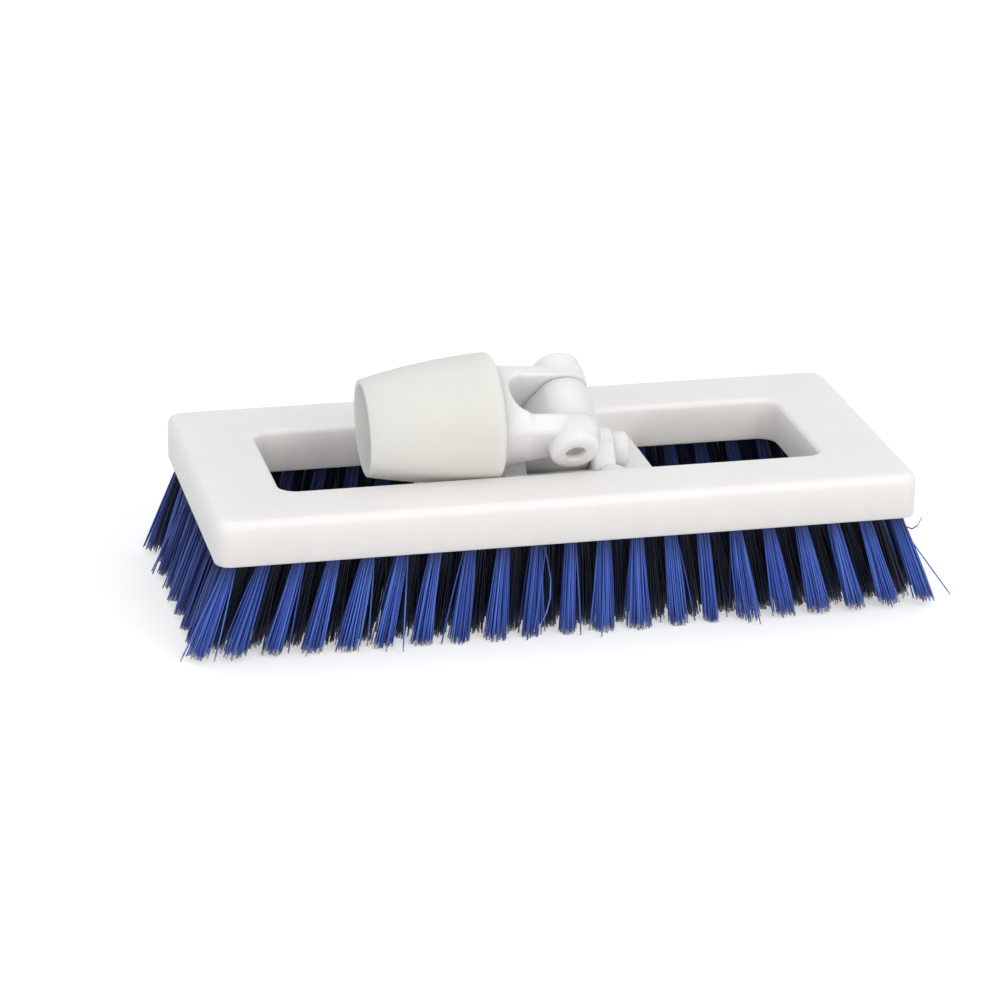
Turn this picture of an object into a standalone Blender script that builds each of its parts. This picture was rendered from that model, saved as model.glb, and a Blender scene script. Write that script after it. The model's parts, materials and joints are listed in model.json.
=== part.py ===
"""Deck brush: an open moulded frame with splayed bristles and a swivelling handle socket.

Metres, +Z up. The origin is on the floor under the middle of the block, with +X along the block
and the bristle tips on Z = 0. The handle socket lies folded along -X, as it rests when let go.
"""
from dataclasses import dataclass
from math import acos, atan2, ceil, cos, hypot, pi, radians, sin

import bmesh
import bpy
from mathutils import Matrix, Vector

# Clearances and cutting
GAP = 0.0003
OVERRUN = 0.002

# Block frame
BLOCK_LENGTH = 0.2415
BLOCK_WIDTH = 0.108
BLOCK_HEIGHT = 0.0155
BLOCK_CORNER = 0.0055
BLOCK_TOP_ROUND = 0.003
BLOCK_LOW_ROUND = 0.0006
SIDE_BAR = 0.026
END_BAR = 0.02625
OPENING_CORNER = 0.006
OPENING_TOP_ROUND = 0.002
OPENING_LOW_ROUND = 0.0008

# Bridge between the two openings, sunk well below the top of the frame
BRIDGE_LENGTH = 0.080
BRIDGE_TOP = 0.0042
BRIDGE_UNDERCUT = 0.0005
BRIDGE_ROOT = 0.0015
BRIDGE_ROUND = 0.0008

# Bristles
BRISTLE_LENGTH = 0.035
FLOOR_CUT = 0.0005
ROW_INSET = 0.006
ROW_PITCH = 0.0075
SIDE_TUFT_PITCH = 0.0114
END_TUFT_PITCH = 0.012
TUFT_CLEAR = 0.0085
END_SPLAY = radians(21.0)
STRANDS_PER_TUFT = 3
STRAND_SIDES = 3
STRAND_ROOT_RADIUS = 0.0008
STRAND_TIP_RADIUS = 0.00095
FAN_ROOT_RADIUS = 0.0013
FAN_TIP_RADIUS = 0.0026
STRAND_SINK = 0.0012
STRIP_HALF_WIDTH = 0.0026
STRIP_THICKNESS = 0.0025

# Swivel: where its two crossing axes lie, and how near the lowered socket comes to the frame
SWIVEL_SHIFT = 0.006
ROLL_HEIGHT = 0.011
AXIS_SPACING = 0.0254
DIP_REST = radians(2.6)
REST_CLEARANCE = 0.00048

# Swivel base on the bridge
PLATE_LENGTH = 0.052
PLATE_MARGIN = 0.008
PLATE_THICKNESS = 0.003
PLATE_CORNER = 0.005
PLATE_ROUND = 0.0008
EAR_RADIUS = 0.008
EAR_FOOT_HALF = 0.011
EAR_THICKNESS = 0.0084
EAR_ROUND = 0.0010
EAR_SINK = 0.001
WINDOW_HALF_WIDTH = 0.0078
WINDOW_STEP = 0.0002
NOTCH_HALF_WIDTH = 0.0072
SCREW_END_INSET = 0.009
SCREW_SIDE_INSET = 0.0045
SCREW_BOSS_RADIUS = 0.0042
SCREW_BOSS_RISE = 0.003
SCREW_BOSS_ROUND = 0.0008

# Screws from below
SCREW_RADIUS = 0.0017
SCREW_HEAD_RADIUS = 0.0033
SCREW_HEAD_HEIGHT = 0.0017
SCREW_HEAD_EDGE = 0.0004
SCREW_POINT = 0.0010
SCREW_ROOF = 0.0008
SCREW_SUNK = 0.0002

# Pins
PIN_RADIUS = 0.0032
PIN_CHAMFER = 0.0005
ROLL_HEAD_RADIUS = 0.0063
ROLL_HEAD_LENGTH = 0.0058
ROLL_HEAD_ROUND = 0.0014
ROLL_TAIL_SETBACK = 0.0003
RING_RADIUS = 0.0052
RING_THICKNESS = 0.0011
YOKE_PIN_SETBACK = 0.0009

# Knuckle
KNUCKLE_HALF_LENGTH = 0.0115
KNUCKLE_LOW_RADIUS = 0.0062
KNUCKLE_TOP_RADIUS = 0.0086
KNUCKLE_ROUND = 0.0008
KNUCKLE_SHOULDER_CLEAR = 0.0005
KNUCKLE_WAIST = 0.0125
KNUCKLE_WIDE_HALF = 0.0128
KNUCKLE_WIDE_DROP = 0.0064
KNUCKLE_BODY_CORNER = 0.0015
KNUCKLE_BODY_SLACK = 0.0002
KNUCKLE_WAIST_SLACK = 0.0006

# Yoke
SLOT_WIDTH = 0.016
SLOT_DEPTH = 0.021
ARM_THICKNESS = 0.0063
ARM_ROUND = 0.0013
ARM_END_RADIUS = 0.0093
ARM_SPREAD = radians(6.8)
ARM_EDGE_HALF_DEPTH = 0.0066
ARM_ROOT_CROWN = 0.0128
ARM_ROOT_EDGE = 0.0092
ARM_ROOT = 0.0220
ARM_BOSS_RADIUS = 0.0086
ARM_BOSS_RISE = 0.0045
ARM_BOSS_ROUND = 0.0018
FLARE_START = 0.0150
FLARE_START_RADIUS = 0.0110
FLARE_HIP = 0.0185
FLARE_HIP_RADIUS = 0.0148
FLARE_WAIST = 0.0212
FLARE_WAIST_RADIUS = 0.0160
COLLAR_START = 0.0236
COLLAR_RADIUS = 0.0178
COLLAR_THICKNESS = 0.0005
STEM_RADIUS = 0.0137
STEM_LENGTH = 0.018
STEM_WALL = 0.0032
STEM_FLOOR = 0.003
STEM_LEAD = 0.0008
SNAP_RISE = 0.0009
SNAP_START = 0.0130
SNAP_RAMP = 0.0008
SNAP_LENGTH = 0.0014

# Handle socket
SLEEVE_LENGTH = 0.0456
SLEEVE_BIG_RADIUS = 0.022
SLEEVE_MOUTH_RADIUS = 0.0166
SLEEVE_SWELL = 0.0011
SLEEVE_BIG_ROUND = 0.0028
SLEEVE_RIM_ROUND = 0.0004
BORE_MOUTH_RADIUS = 0.0149
BORE_FLOOR_RADIUS = 0.0143
BORE_STEP = 0.0008

# Facets
CORNER_STEPS = 5
ROUND_STEPS = 3
TURN_STEPS = 40
PIN_STEPS = 20
SCREW_STEPS = 12
SMOOTH_ANGLE = radians(35.0)

# Heights and places that follow from the sizes above
UNDERSIDE = BRISTLE_LENGTH
BLOCK_TOP = UNDERSIDE + BLOCK_HEIGHT
BRIDGE_SURFACE = UNDERSIDE + BRIDGE_TOP
PLATE_LOW = BRIDGE_SURFACE + GAP
PLATE_TOP = PLATE_LOW + PLATE_THICKNESS
ROLL_CENTRE = Vector((SWIVEL_SHIFT, 0, UNDERSIDE + ROLL_HEIGHT))
PLATE_WIDTH = BLOCK_WIDTH - 2 * SIDE_BAR - 2 * PLATE_MARGIN
SCREW_ALONG = PLATE_LENGTH / 2 - SCREW_END_INSET
SCREW_ACROSS = PLATE_WIDTH / 2 - SCREW_SIDE_INSET
HOLE_RADIUS = PIN_RADIUS + GAP
EAR_INNER = KNUCKLE_HALF_LENGTH + GAP
EAR_OUTER = EAR_INNER + EAR_THICKNESS
SLOT_HALF = SLOT_WIDTH / 2
YOKE_HALF_WIDTH = SLOT_HALF + ARM_THICKNESS
BOSS_FACE = YOKE_HALF_WIDTH + ARM_BOSS_RISE
COLLAR_END = COLLAR_START + COLLAR_THICKNESS
SLEEVE_START = COLLAR_END + GAP
SLEEVE_END = SLEEVE_START + SLEEVE_LENGTH
STEM_END = COLLAR_END + STEM_LENGTH

# The lean at which the lowered socket stops just short of the rounded edge of the frame's side bar
EDGE_ACROSS = BLOCK_WIDTH / 2 - SIDE_BAR + OPENING_TOP_ROUND
EDGE_UP = BLOCK_HEIGHT - OPENING_TOP_ROUND - ROLL_HEIGHT
EDGE_REACH = hypot(EDGE_ACROSS, EDGE_UP)
SOCKET_REACH = AXIS_SPACING - (SLEEVE_START + SLEEVE_BIG_ROUND) * sin(DIP_REST)
REST_APART = SLEEVE_BIG_RADIUS + OPENING_TOP_ROUND + REST_CLEARANCE
REST_COSINE = (SOCKET_REACH ** 2 + EDGE_REACH ** 2 - REST_APART ** 2) / (2 * SOCKET_REACH * EDGE_REACH)
ROLL_REST = atan2(EDGE_ACROSS, EDGE_UP) - acos(REST_COSINE)

WHITE = (0.80, 0.79, 0.77)
SOCKET_WHITE = (0.78, 0.78, 0.73)
NATURAL = (0.80, 0.83, 0.82)
BLUE = (0.035, 0.075, 0.33)
STEEL = (0.46, 0.43, 0.40)


# Materials and objects

def make_material(name, colour, roughness, metallic=0.0):
    """A plain Principled material."""
    material = bpy.data.materials.new(name)
    material.use_nodes = True
    shader = material.node_tree.nodes["Principled BSDF"]
    shader.inputs["Base Color"].default_value = (*colour, 1.0)
    shader.inputs["Roughness"].default_value = roughness
    shader.inputs["Metallic"].default_value = metallic
    return material


def make_object(name, bm, material=None, parent=None, matrix=None):
    """Puts a bmesh into a named object, with its faces turned outwards and its round faces smooth."""
    bmesh.ops.recalc_face_normals(bm, faces=bm.faces)
    mesh = bpy.data.meshes.new(name)
    bm.to_mesh(mesh)
    bm.free()
    mesh.shade_smooth()
    mesh.set_sharp_from_angle(angle=SMOOTH_ANGLE)
    obj = bpy.data.objects.new(name, mesh)
    bpy.context.scene.collection.objects.link(obj)
    if material is not None:
        mesh.materials.append(material)
    if parent is not None:
        obj.parent = parent
    if matrix is not None:
        obj.matrix_local = matrix
    return obj


def make_empty(name, location, rotation, parent=None):
    """An empty that carries the pieces turning on one axis."""
    empty = bpy.data.objects.new(name, None)
    bpy.context.scene.collection.objects.link(empty)
    empty.location = location
    empty.rotation_euler = rotation
    empty.parent = parent
    return empty


def combine(target, tool, operation):
    """Adds a Boolean of one tool to an object; the tool itself is only a guide."""
    tool.hide_render = True
    tool.display_type = "WIRE"
    modifier = target.modifiers.new(f"{operation.lower()}_{tool.name}", "BOOLEAN")
    modifier.operation = operation
    modifier.solver = "EXACT"
    modifier.object = tool


def cut(target, name, bm, matrix=None):
    """Cuts a shape out of an object."""
    combine(target, make_object(name, bm, parent=target.parent, matrix=matrix), "DIFFERENCE")


def add(target, name, bm, matrix=None):
    """Joins a shape to an object."""
    combine(target, make_object(name, bm, parent=target.parent, matrix=matrix), "UNION")


# Outlines, as lists of points in a plane

def arc(radius, start, end, steps):
    """Points of an arc about zero, both ends included."""
    angles = [start + (end - start) * k / steps for k in range(steps + 1)]
    return [(radius * cos(a), radius * sin(a)) for a in angles]


def circle(radius, steps):
    """Points of a full circle."""
    return arc(radius, 0, 2 * pi, steps)[:-1]


def rounded_rectangle(half_x, half_y, corner):
    """Outline of a rectangle with round corners, anticlockwise."""
    points = []
    for quarter, (sx, sy) in enumerate([(1, 1), (-1, 1), (-1, -1), (1, -1)]):
        start = quarter * pi / 2
        for x, y in arc(corner, start, start + pi / 2, CORNER_STEPS):
            points.append((sx * (half_x - corner) + x, sy * (half_y - corner) + y))
    return points


def round_ended(radius, centre, open_end, steps):
    """Outline (across, along) with straight sides and one half-round end, away from the open end."""
    side = 1 if centre > open_end else -1
    points = [(x, centre + side * y) for x, y in arc(radius, 0, pi, steps)]
    return points + [(-radius, open_end), (radius, open_end)]


def ear_outline(radius, foot_half, drop, steps):
    """Outline (across, up) of an ear: a round top about zero, with straight flanks to a wider foot."""
    reach = hypot(foot_half, drop)
    touch = acos(radius / reach) - atan2(drop, foot_half)
    return arc(radius, touch, pi - touch, steps) + [(-foot_half, -drop), (foot_half, -drop)]


# Solids from outlines

def skin(rings, closed=False):
    """A closed surface through rings of equal count; closed joins the last ring to the first."""
    bm = bmesh.new()
    loops = [[bm.verts.new(point) for point in ring] for ring in rings]
    pairs = list(zip(loops, loops[1:]))
    if closed:
        pairs.append((loops[-1], loops[0]))
    for low, high in pairs:
        for k in range(len(low)):
            following = (k + 1) % len(low)
            bm.faces.new((low[k], low[following], high[following], high[k]))
    if not closed:
        bm.faces.new(reversed(loops[0]))
        bm.faces.new(loops[-1])
    return bm


def round_profile(low, high, low_round, high_round):
    """Pairs (inset, height) down one rounded edge and up another; a negative round flares outwards."""
    profile = []
    for k in range(ROUND_STEPS + 1 if low_round else 1):
        turn = k * pi / 2 / ROUND_STEPS
        profile.append((low_round * (1 - sin(turn)), low + abs(low_round) * (1 - cos(turn))))
    for k in range(ROUND_STEPS + 1 if high_round else 1):
        turn = k * pi / 2 / ROUND_STEPS
        profile.append((high_round * (1 - cos(turn)), high - abs(high_round) * (1 - sin(turn))))
    return profile


def slab(half_x, half_y, corner, low, high, low_round=0, high_round=0, centre=(0, 0), overrun=0):
    """An upright block with round corners and rounded or flared edges, run past both faces on demand."""
    profile = round_profile(low, high, low_round, high_round)
    if overrun:
        profile = [(profile[0][0], low - overrun), *profile, (profile[-1][0], high + overrun)]
    rings = []
    for inset, height in profile:
        outline = rounded_rectangle(half_x - inset, half_y - inset, corner - inset)
        rings.append([(centre[0] + x, centre[1] + y, height) for x, y in outline])
    return skin(rings)


def box(low, high):
    """A plain box between two corners."""
    bm = bmesh.new()
    size = [high[i] - low[i] for i in range(3)]
    middle = [(high[i] + low[i]) / 2 for i in range(3)]
    bmesh.ops.create_cube(bm, size=1, matrix=Matrix.Translation(middle) @ Matrix.Diagonal((*size, 1)))
    return bm


def turned(profile, steps, closed=False):
    """A turned shape about Z from pairs (radius, height)."""
    rings = [[(x, y, height) for x, y in circle(radius, steps)] for radius, height in profile]
    return skin(rings, closed)


def quarter(centre_radius, centre_height, radius, start, steps=ROUND_STEPS):
    """Pairs (radius, height) of a quarter round in a turned profile, anticlockwise from an angle."""
    return [(centre_radius + r, centre_height + h) for r, h in arc(radius, start, start + pi / 2, steps)]


def along_y(outline_at, low, high, edge_round):
    """A shape that runs along Y, from outlines (x, z) that take an inset, with rounded end edges."""
    profile = round_profile(low, high, edge_round, edge_round)
    return skin([[(x, y, z) for x, z in outline_at(inset)] for inset, y in profile])


def along_x(outline_at, low, high, edge_round):
    """A shape that runs along X, from outlines (y, z) that take an inset, with rounded end edges."""
    profile = round_profile(low, high, edge_round, edge_round)
    return skin([[(x, y, z) for y, z in outline_at(inset)] for inset, x in profile])


def rod_y(radius, low, high, steps, edge_round=0):
    """A rod along Y."""
    return along_y(lambda inset: circle(radius - inset, steps), low, high, edge_round)


def rod_x(radius, low, high, steps, edge_round=0, centre=(0, 0)):
    """A rod along X, whose centre line passes through centre (y, z)."""
    cy, cz = centre
    return along_x(lambda inset: [(cy + y, cz + z) for y, z in circle(radius - inset, steps)],
                   low, high, edge_round)


# Bristle rows

@dataclass
class BristleRow:
    """One row of tufts on its own strip of backing."""
    name: str
    tufts: list

    def strip_bounds(self, grow=0):
        """Lowest and highest corner of the strip in plan, grown all round on demand."""
        reach = STRIP_HALF_WIDTH + grow
        xs = [x for x, _ in self.tufts]
        ys = [y for _, y in self.tufts]
        return (min(xs) - reach, min(ys) - reach), (max(xs) + reach, max(ys) + reach)


def spread(length, pitch):
    """Evenly spaced places from end to end of a length, as near to a pitch as it divides."""
    count = max(2, round(length / pitch))
    return [length * (k / count) - length / 2 for k in range(count + 1)]


def between(places):
    """The places midway between neighbours."""
    return [(a + b) / 2 for a, b in zip(places, places[1:])]


def bristle_rows():
    """Three staggered rows along each side, with three shorter rows across each end."""
    side_y = [BLOCK_WIDTH / 2 - ROW_INSET - ROW_PITCH * k for k in range(3)]
    end_x = [BLOCK_LENGTH / 2 - ROW_INSET - ROW_PITCH * k for k in range(3)]
    along = spread(BLOCK_LENGTH - 2 * ROW_INSET, SIDE_TUFT_PITCH)
    across = spread(BLOCK_WIDTH - 2 * ROW_INSET, END_TUFT_PITCH)
    side_places = [along, between(along), along[1:-1]]
    limits = [side_y[0] - TUFT_CLEAR, side_y[2] - TUFT_CLEAR, side_y[2] - TUFT_CLEAR]
    end_places = [[y for y in places if abs(y) <= limit]
                  for places, limit in zip([across, between(across), across], limits)]
    rows = []
    for k, ring in enumerate(["outer", "middle", "inner"]):
        for side, sign in [("front", -1), ("back", 1)]:
            rows.append(BristleRow(f"{side}_{ring}_row", [(x, sign * side_y[k]) for x in side_places[k]]))
        for side, sign in [("left", -1), ("right", 1)]:
            rows.append(BristleRow(f"{side}_{ring}_row", [(sign * end_x[k], y) for y in end_places[k]]))
    return rows


def strand(x, y, bearing):
    """One strand of a tuft as two triangles, in the strip and at the tip, cut flat on the floor."""
    splay = END_SPLAY * x / (BLOCK_LENGTH / 2 - ROW_INSET)
    length = BRISTLE_LENGTH + FLOOR_CUT
    fan = Vector((cos(bearing), sin(bearing), 0))
    root = Vector((x, y, UNDERSIDE)) + fan * FAN_ROOT_RADIUS
    tip = Vector((x, y, UNDERSIDE)) + fan * FAN_TIP_RADIUS
    tip += Vector((sin(splay), 0, -cos(splay))) * length
    run = tip - root
    sunk = root - run * (STRAND_SINK / length)
    if tip.z < 0:
        tip = root + run * (root.z / (root.z - tip.z))
    rings = []
    for centre, radius in [(tip, STRAND_TIP_RADIUS), (sunk, STRAND_ROOT_RADIUS)]:
        corners = arc(radius, bearing, bearing + 2 * pi, STRAND_SIDES)[:-1]
        rings.append([(centre.x + cx, centre.y + cy, centre.z) for cx, cy in corners])
    return rings


def make_bristle_row(row, material):
    """The strip of backing with its strands, joined into one body."""
    low, high = row.strip_bounds()
    strip = make_object(row.name, box((*low, UNDERSIDE), (*high, UNDERSIDE + STRIP_THICKNESS)), material)
    strands = bmesh.new()
    for x, y in row.tufts:
        for k in range(STRANDS_PER_TUFT):
            rings = strand(x, y, pi / 2 + 2 * pi * k / STRANDS_PER_TUFT)
            loops = [[strands.verts.new(point) for point in ring] for ring in rings]
            for c in range(STRAND_SIDES):
                n = (c + 1) % STRAND_SIDES
                strands.faces.new((loops[0][c], loops[0][n], loops[1][n], loops[1][c]))
            strands.faces.new(reversed(loops[0]))
            strands.faces.new(loops[1])
    add(strip, f"{row.name}_strands", strands)
    return strip


# Block

def make_block(material, rows):
    """The frame, its bridge, the seats of the bristle strips and the screw holes."""
    block = make_object("brush_block", slab(
        BLOCK_LENGTH / 2, BLOCK_WIDTH / 2, BLOCK_CORNER, UNDERSIDE, BLOCK_TOP,
        BLOCK_LOW_ROUND, BLOCK_TOP_ROUND), material)
    half_x = BLOCK_LENGTH / 2 - END_BAR
    half_y = BLOCK_WIDTH / 2 - SIDE_BAR
    cut(block, "opening_tool", slab(
        half_x, half_y, OPENING_CORNER, UNDERSIDE, BLOCK_TOP,
        -OPENING_LOW_ROUND, -OPENING_TOP_ROUND, overrun=OVERRUN))
    bridge_outline = lambda inset: [
        (x, (UNDERSIDE + BRIDGE_UNDERCUT + BRIDGE_SURFACE) / 2 + z) for x, z in rounded_rectangle(
            BRIDGE_LENGTH / 2, (BRIDGE_TOP - BRIDGE_UNDERCUT) / 2, BRIDGE_ROUND)]
    reach = half_y + BRIDGE_ROOT
    add(block, "bridge_shape", along_y(bridge_outline, -reach, reach, 0))
    for row in rows:
        low, high = row.strip_bounds(GAP)
        roof = UNDERSIDE + STRIP_THICKNESS + GAP
        cut(block, f"{row.name}_seat", box((*low, UNDERSIDE - OVERRUN), (*high, roof)))
    for k, place in enumerate(screw_places()):
        cut(block, f"screw_seat_{k + 1}", countersink_tool(), Matrix.Translation(place))
    return block


def screw_places():
    """Where the screws' heads lie, on the underside of the bridge."""
    return [Vector((SWIVEL_SHIFT + sx * SCREW_ALONG, sy * SCREW_ACROSS, UNDERSIDE + BRIDGE_UNDERCUT))
            for sx in (-1, 1) for sy in (-1, 1)]


def countersink_tool():
    """A clearance hole with a countersunk seat, from below the bridge to above it."""
    head = SCREW_HEAD_RADIUS + GAP
    neck = SCREW_RADIUS + GAP
    edge = SCREW_SUNK + SCREW_HEAD_EDGE + GAP
    return turned([(head, -OVERRUN), (head, edge), (neck, edge + SCREW_HEAD_HEIGHT),
                   (neck, BRIDGE_TOP - BRIDGE_UNDERCUT + OVERRUN)], SCREW_STEPS)


def make_screw(name, place, material):
    """A countersunk screw pointing up."""
    top = screw_tip_height()
    shape = turned([(SCREW_HEAD_RADIUS, SCREW_SUNK), (SCREW_HEAD_RADIUS, SCREW_SUNK + SCREW_HEAD_EDGE),
                    (SCREW_RADIUS, SCREW_SUNK + SCREW_HEAD_EDGE + SCREW_HEAD_HEIGHT),
                    (SCREW_RADIUS, top - SCREW_POINT), (SCREW_RADIUS / 2, top)], SCREW_STEPS)
    return make_object(name, shape, material, matrix=Matrix.Translation(place))


def screw_tip_height():
    """Height of the screw's tip over the underside of the bridge."""
    boss_top = PLATE_TOP + SCREW_BOSS_RISE - UNDERSIDE - BRIDGE_UNDERCUT
    return boss_top - SCREW_ROOF - GAP


# Swivel base

def make_base(material):
    """The bracket: a plate with four screw bosses and two ears for the roll pin."""
    base = make_object("swivel_base", slab(
        PLATE_LENGTH / 2, PLATE_WIDTH / 2, PLATE_CORNER, PLATE_LOW, PLATE_TOP, 0, PLATE_ROUND,
        centre=(SWIVEL_SHIFT, 0)), material)
    place = Matrix.Translation(ROLL_CENTRE)
    window = EAR_INNER + WINDOW_STEP
    cut(base, "window_tool", box((SWIVEL_SHIFT - window, -WINDOW_HALF_WIDTH, PLATE_LOW - OVERRUN),
                                 (SWIVEL_SHIFT + window, WINDOW_HALF_WIDTH, PLATE_TOP + OVERRUN)))
    for k, screw in enumerate(screw_places()):
        boss = turned([(SCREW_BOSS_RADIUS, PLATE_TOP - PLATE_THICKNESS / 2),
                       *quarter(SCREW_BOSS_RADIUS - SCREW_BOSS_ROUND,
                                PLATE_TOP + SCREW_BOSS_RISE - SCREW_BOSS_ROUND, SCREW_BOSS_ROUND, 0)],
                      PIN_STEPS)
        add(base, f"screw_boss_{k + 1}", boss, Matrix.Translation((screw.x, screw.y, 0)))
    for name, sign in [("left_notch", -1), ("right_notch", 1)]:
        near, far = sorted((SWIVEL_SHIFT + sign * EAR_OUTER, SWIVEL_SHIFT + sign * PLATE_LENGTH))
        cut(base, name, box((near, -NOTCH_HALF_WIDTH, PLATE_LOW - OVERRUN),
                            (far, NOTCH_HALF_WIDTH, PLATE_TOP + SCREW_BOSS_RISE + OVERRUN)))
    drop = ROLL_CENTRE.z - PLATE_TOP + EAR_SINK
    ear = lambda inset: ear_outline(EAR_RADIUS - inset, EAR_FOOT_HALF - inset, drop, 3 * CORNER_STEPS)
    add(base, "left_ear", along_x(ear, -EAR_OUTER, -EAR_INNER, EAR_ROUND), place)
    add(base, "right_ear", along_x(ear, EAR_INNER, EAR_OUTER, EAR_ROUND), place)
    reach = EAR_OUTER + OVERRUN
    cut(base, "roll_pin_hole", rod_x(HOLE_RADIUS, -reach, reach, PIN_STEPS), place)
    seat = EAR_OUTER - ring_seat_depth()
    cut(base, "ring_seat", rod_x(RING_RADIUS + GAP, -reach, -seat, PIN_STEPS), place)
    for k, screw in enumerate(screw_places()):
        hole = turned([(SCREW_RADIUS + GAP, PLATE_LOW - OVERRUN - screw.z),
                       (SCREW_RADIUS + GAP, screw_tip_height() + GAP)], SCREW_STEPS)
        cut(base, f"screw_hole_{k + 1}", hole, Matrix.Translation(screw))
    return base


def ring_seat_depth():
    """Depth of the seat in the left ear that holds the pin's push-on ring."""
    return RING_THICKNESS + 2 * GAP


def make_roll_pin(material):
    """The lengthwise pin, with a round head outside the right ear."""
    start = -EAR_OUTER + ROLL_TAIL_SETBACK
    head = EAR_OUTER + GAP
    end = head + ROLL_HEAD_LENGTH
    pin = turned([(PIN_RADIUS - PIN_CHAMFER, start), (PIN_RADIUS, start + PIN_CHAMFER),
                  (PIN_RADIUS, head), (ROLL_HEAD_RADIUS, head),
                  *quarter(ROLL_HEAD_RADIUS - ROLL_HEAD_ROUND, end - ROLL_HEAD_ROUND, ROLL_HEAD_ROUND, 0)],
                 PIN_STEPS)
    return make_object("roll_pin", pin, material,
                       matrix=Matrix.Translation(ROLL_CENTRE) @ Matrix.Rotation(pi / 2, 4, "Y"))


def make_roll_ring(material):
    """The push-on ring at the plain end of the roll pin."""
    low = -EAR_OUTER + GAP
    profile = [(HOLE_RADIUS, low), (RING_RADIUS, low),
               (RING_RADIUS, low + RING_THICKNESS), (HOLE_RADIUS, low + RING_THICKNESS)]
    return make_object("roll_pin_ring", turned(profile, PIN_STEPS, closed=True), material,
                       matrix=Matrix.Translation(ROLL_CENTRE) @ Matrix.Rotation(pi / 2, 4, "Y"))


# Knuckle

def make_knuckle(material, roll_axis):
    """The cross piece, with its lower barrel on the roll pin and its upper barrel in the yoke."""
    half_width = SLOT_HALF - GAP
    low_half = KNUCKLE_HALF_LENGTH - KNUCKLE_BODY_SLACK
    wide_half = KNUCKLE_WIDE_HALF - KNUCKLE_BODY_SLACK
    stations = [
        (0, low_half, KNUCKLE_LOW_RADIUS - KNUCKLE_BODY_SLACK),
        (EAR_RADIUS + KNUCKLE_SHOULDER_CLEAR, low_half, KNUCKLE_LOW_RADIUS),
        (KNUCKLE_WAIST, wide_half, half_width - KNUCKLE_WAIST_SLACK),
        (AXIS_SPACING - KNUCKLE_WIDE_DROP - KNUCKLE_BODY_SLACK, wide_half, half_width - KNUCKLE_BODY_SLACK),
        (AXIS_SPACING, KNUCKLE_TOP_RADIUS - KNUCKLE_BODY_SLACK, half_width - KNUCKLE_BODY_SLACK)]
    rings = [[(x, y, z) for x, y in rounded_rectangle(half_x, half_y, KNUCKLE_BODY_CORNER)]
             for z, half_x, half_y in stations]
    knuckle = make_object("knuckle", skin(rings), material, roll_axis)
    add(knuckle, "low_barrel", rod_x(KNUCKLE_LOW_RADIUS, -KNUCKLE_HALF_LENGTH, KNUCKLE_HALF_LENGTH,
                                     TURN_STEPS, KNUCKLE_ROUND))
    top = Matrix.Translation((0, 0, AXIS_SPACING))
    head = lambda inset: ear_outline(KNUCKLE_TOP_RADIUS - inset, KNUCKLE_WIDE_HALF - inset,
                                     KNUCKLE_WIDE_DROP - inset, TURN_STEPS // 2)
    add(knuckle, "head_shape", along_y(head, -half_width, half_width, KNUCKLE_ROUND), top)
    reach = KNUCKLE_HALF_LENGTH + OVERRUN
    cut(knuckle, "low_bore", rod_x(HOLE_RADIUS, -reach, reach, PIN_STEPS))
    reach = half_width + OVERRUN
    cut(knuckle, "top_bore", rod_y(HOLE_RADIUS, -reach, reach, PIN_STEPS), top)
    return knuckle


# Yoke and socket

def arm_outline(inset):
    """Outline (x, z) of the arms from the side: round about the pin, then spreading to their root."""
    radius = ARM_END_RADIUS - inset
    root_half = (radius + ARM_ROOT * sin(ARM_SPREAD)) / cos(ARM_SPREAD)
    ends = arc(radius, ARM_SPREAD - pi, -ARM_SPREAD, TURN_STEPS // 2)
    return ends + [(root_half, ARM_ROOT), (-root_half, ARM_ROOT)]


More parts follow.
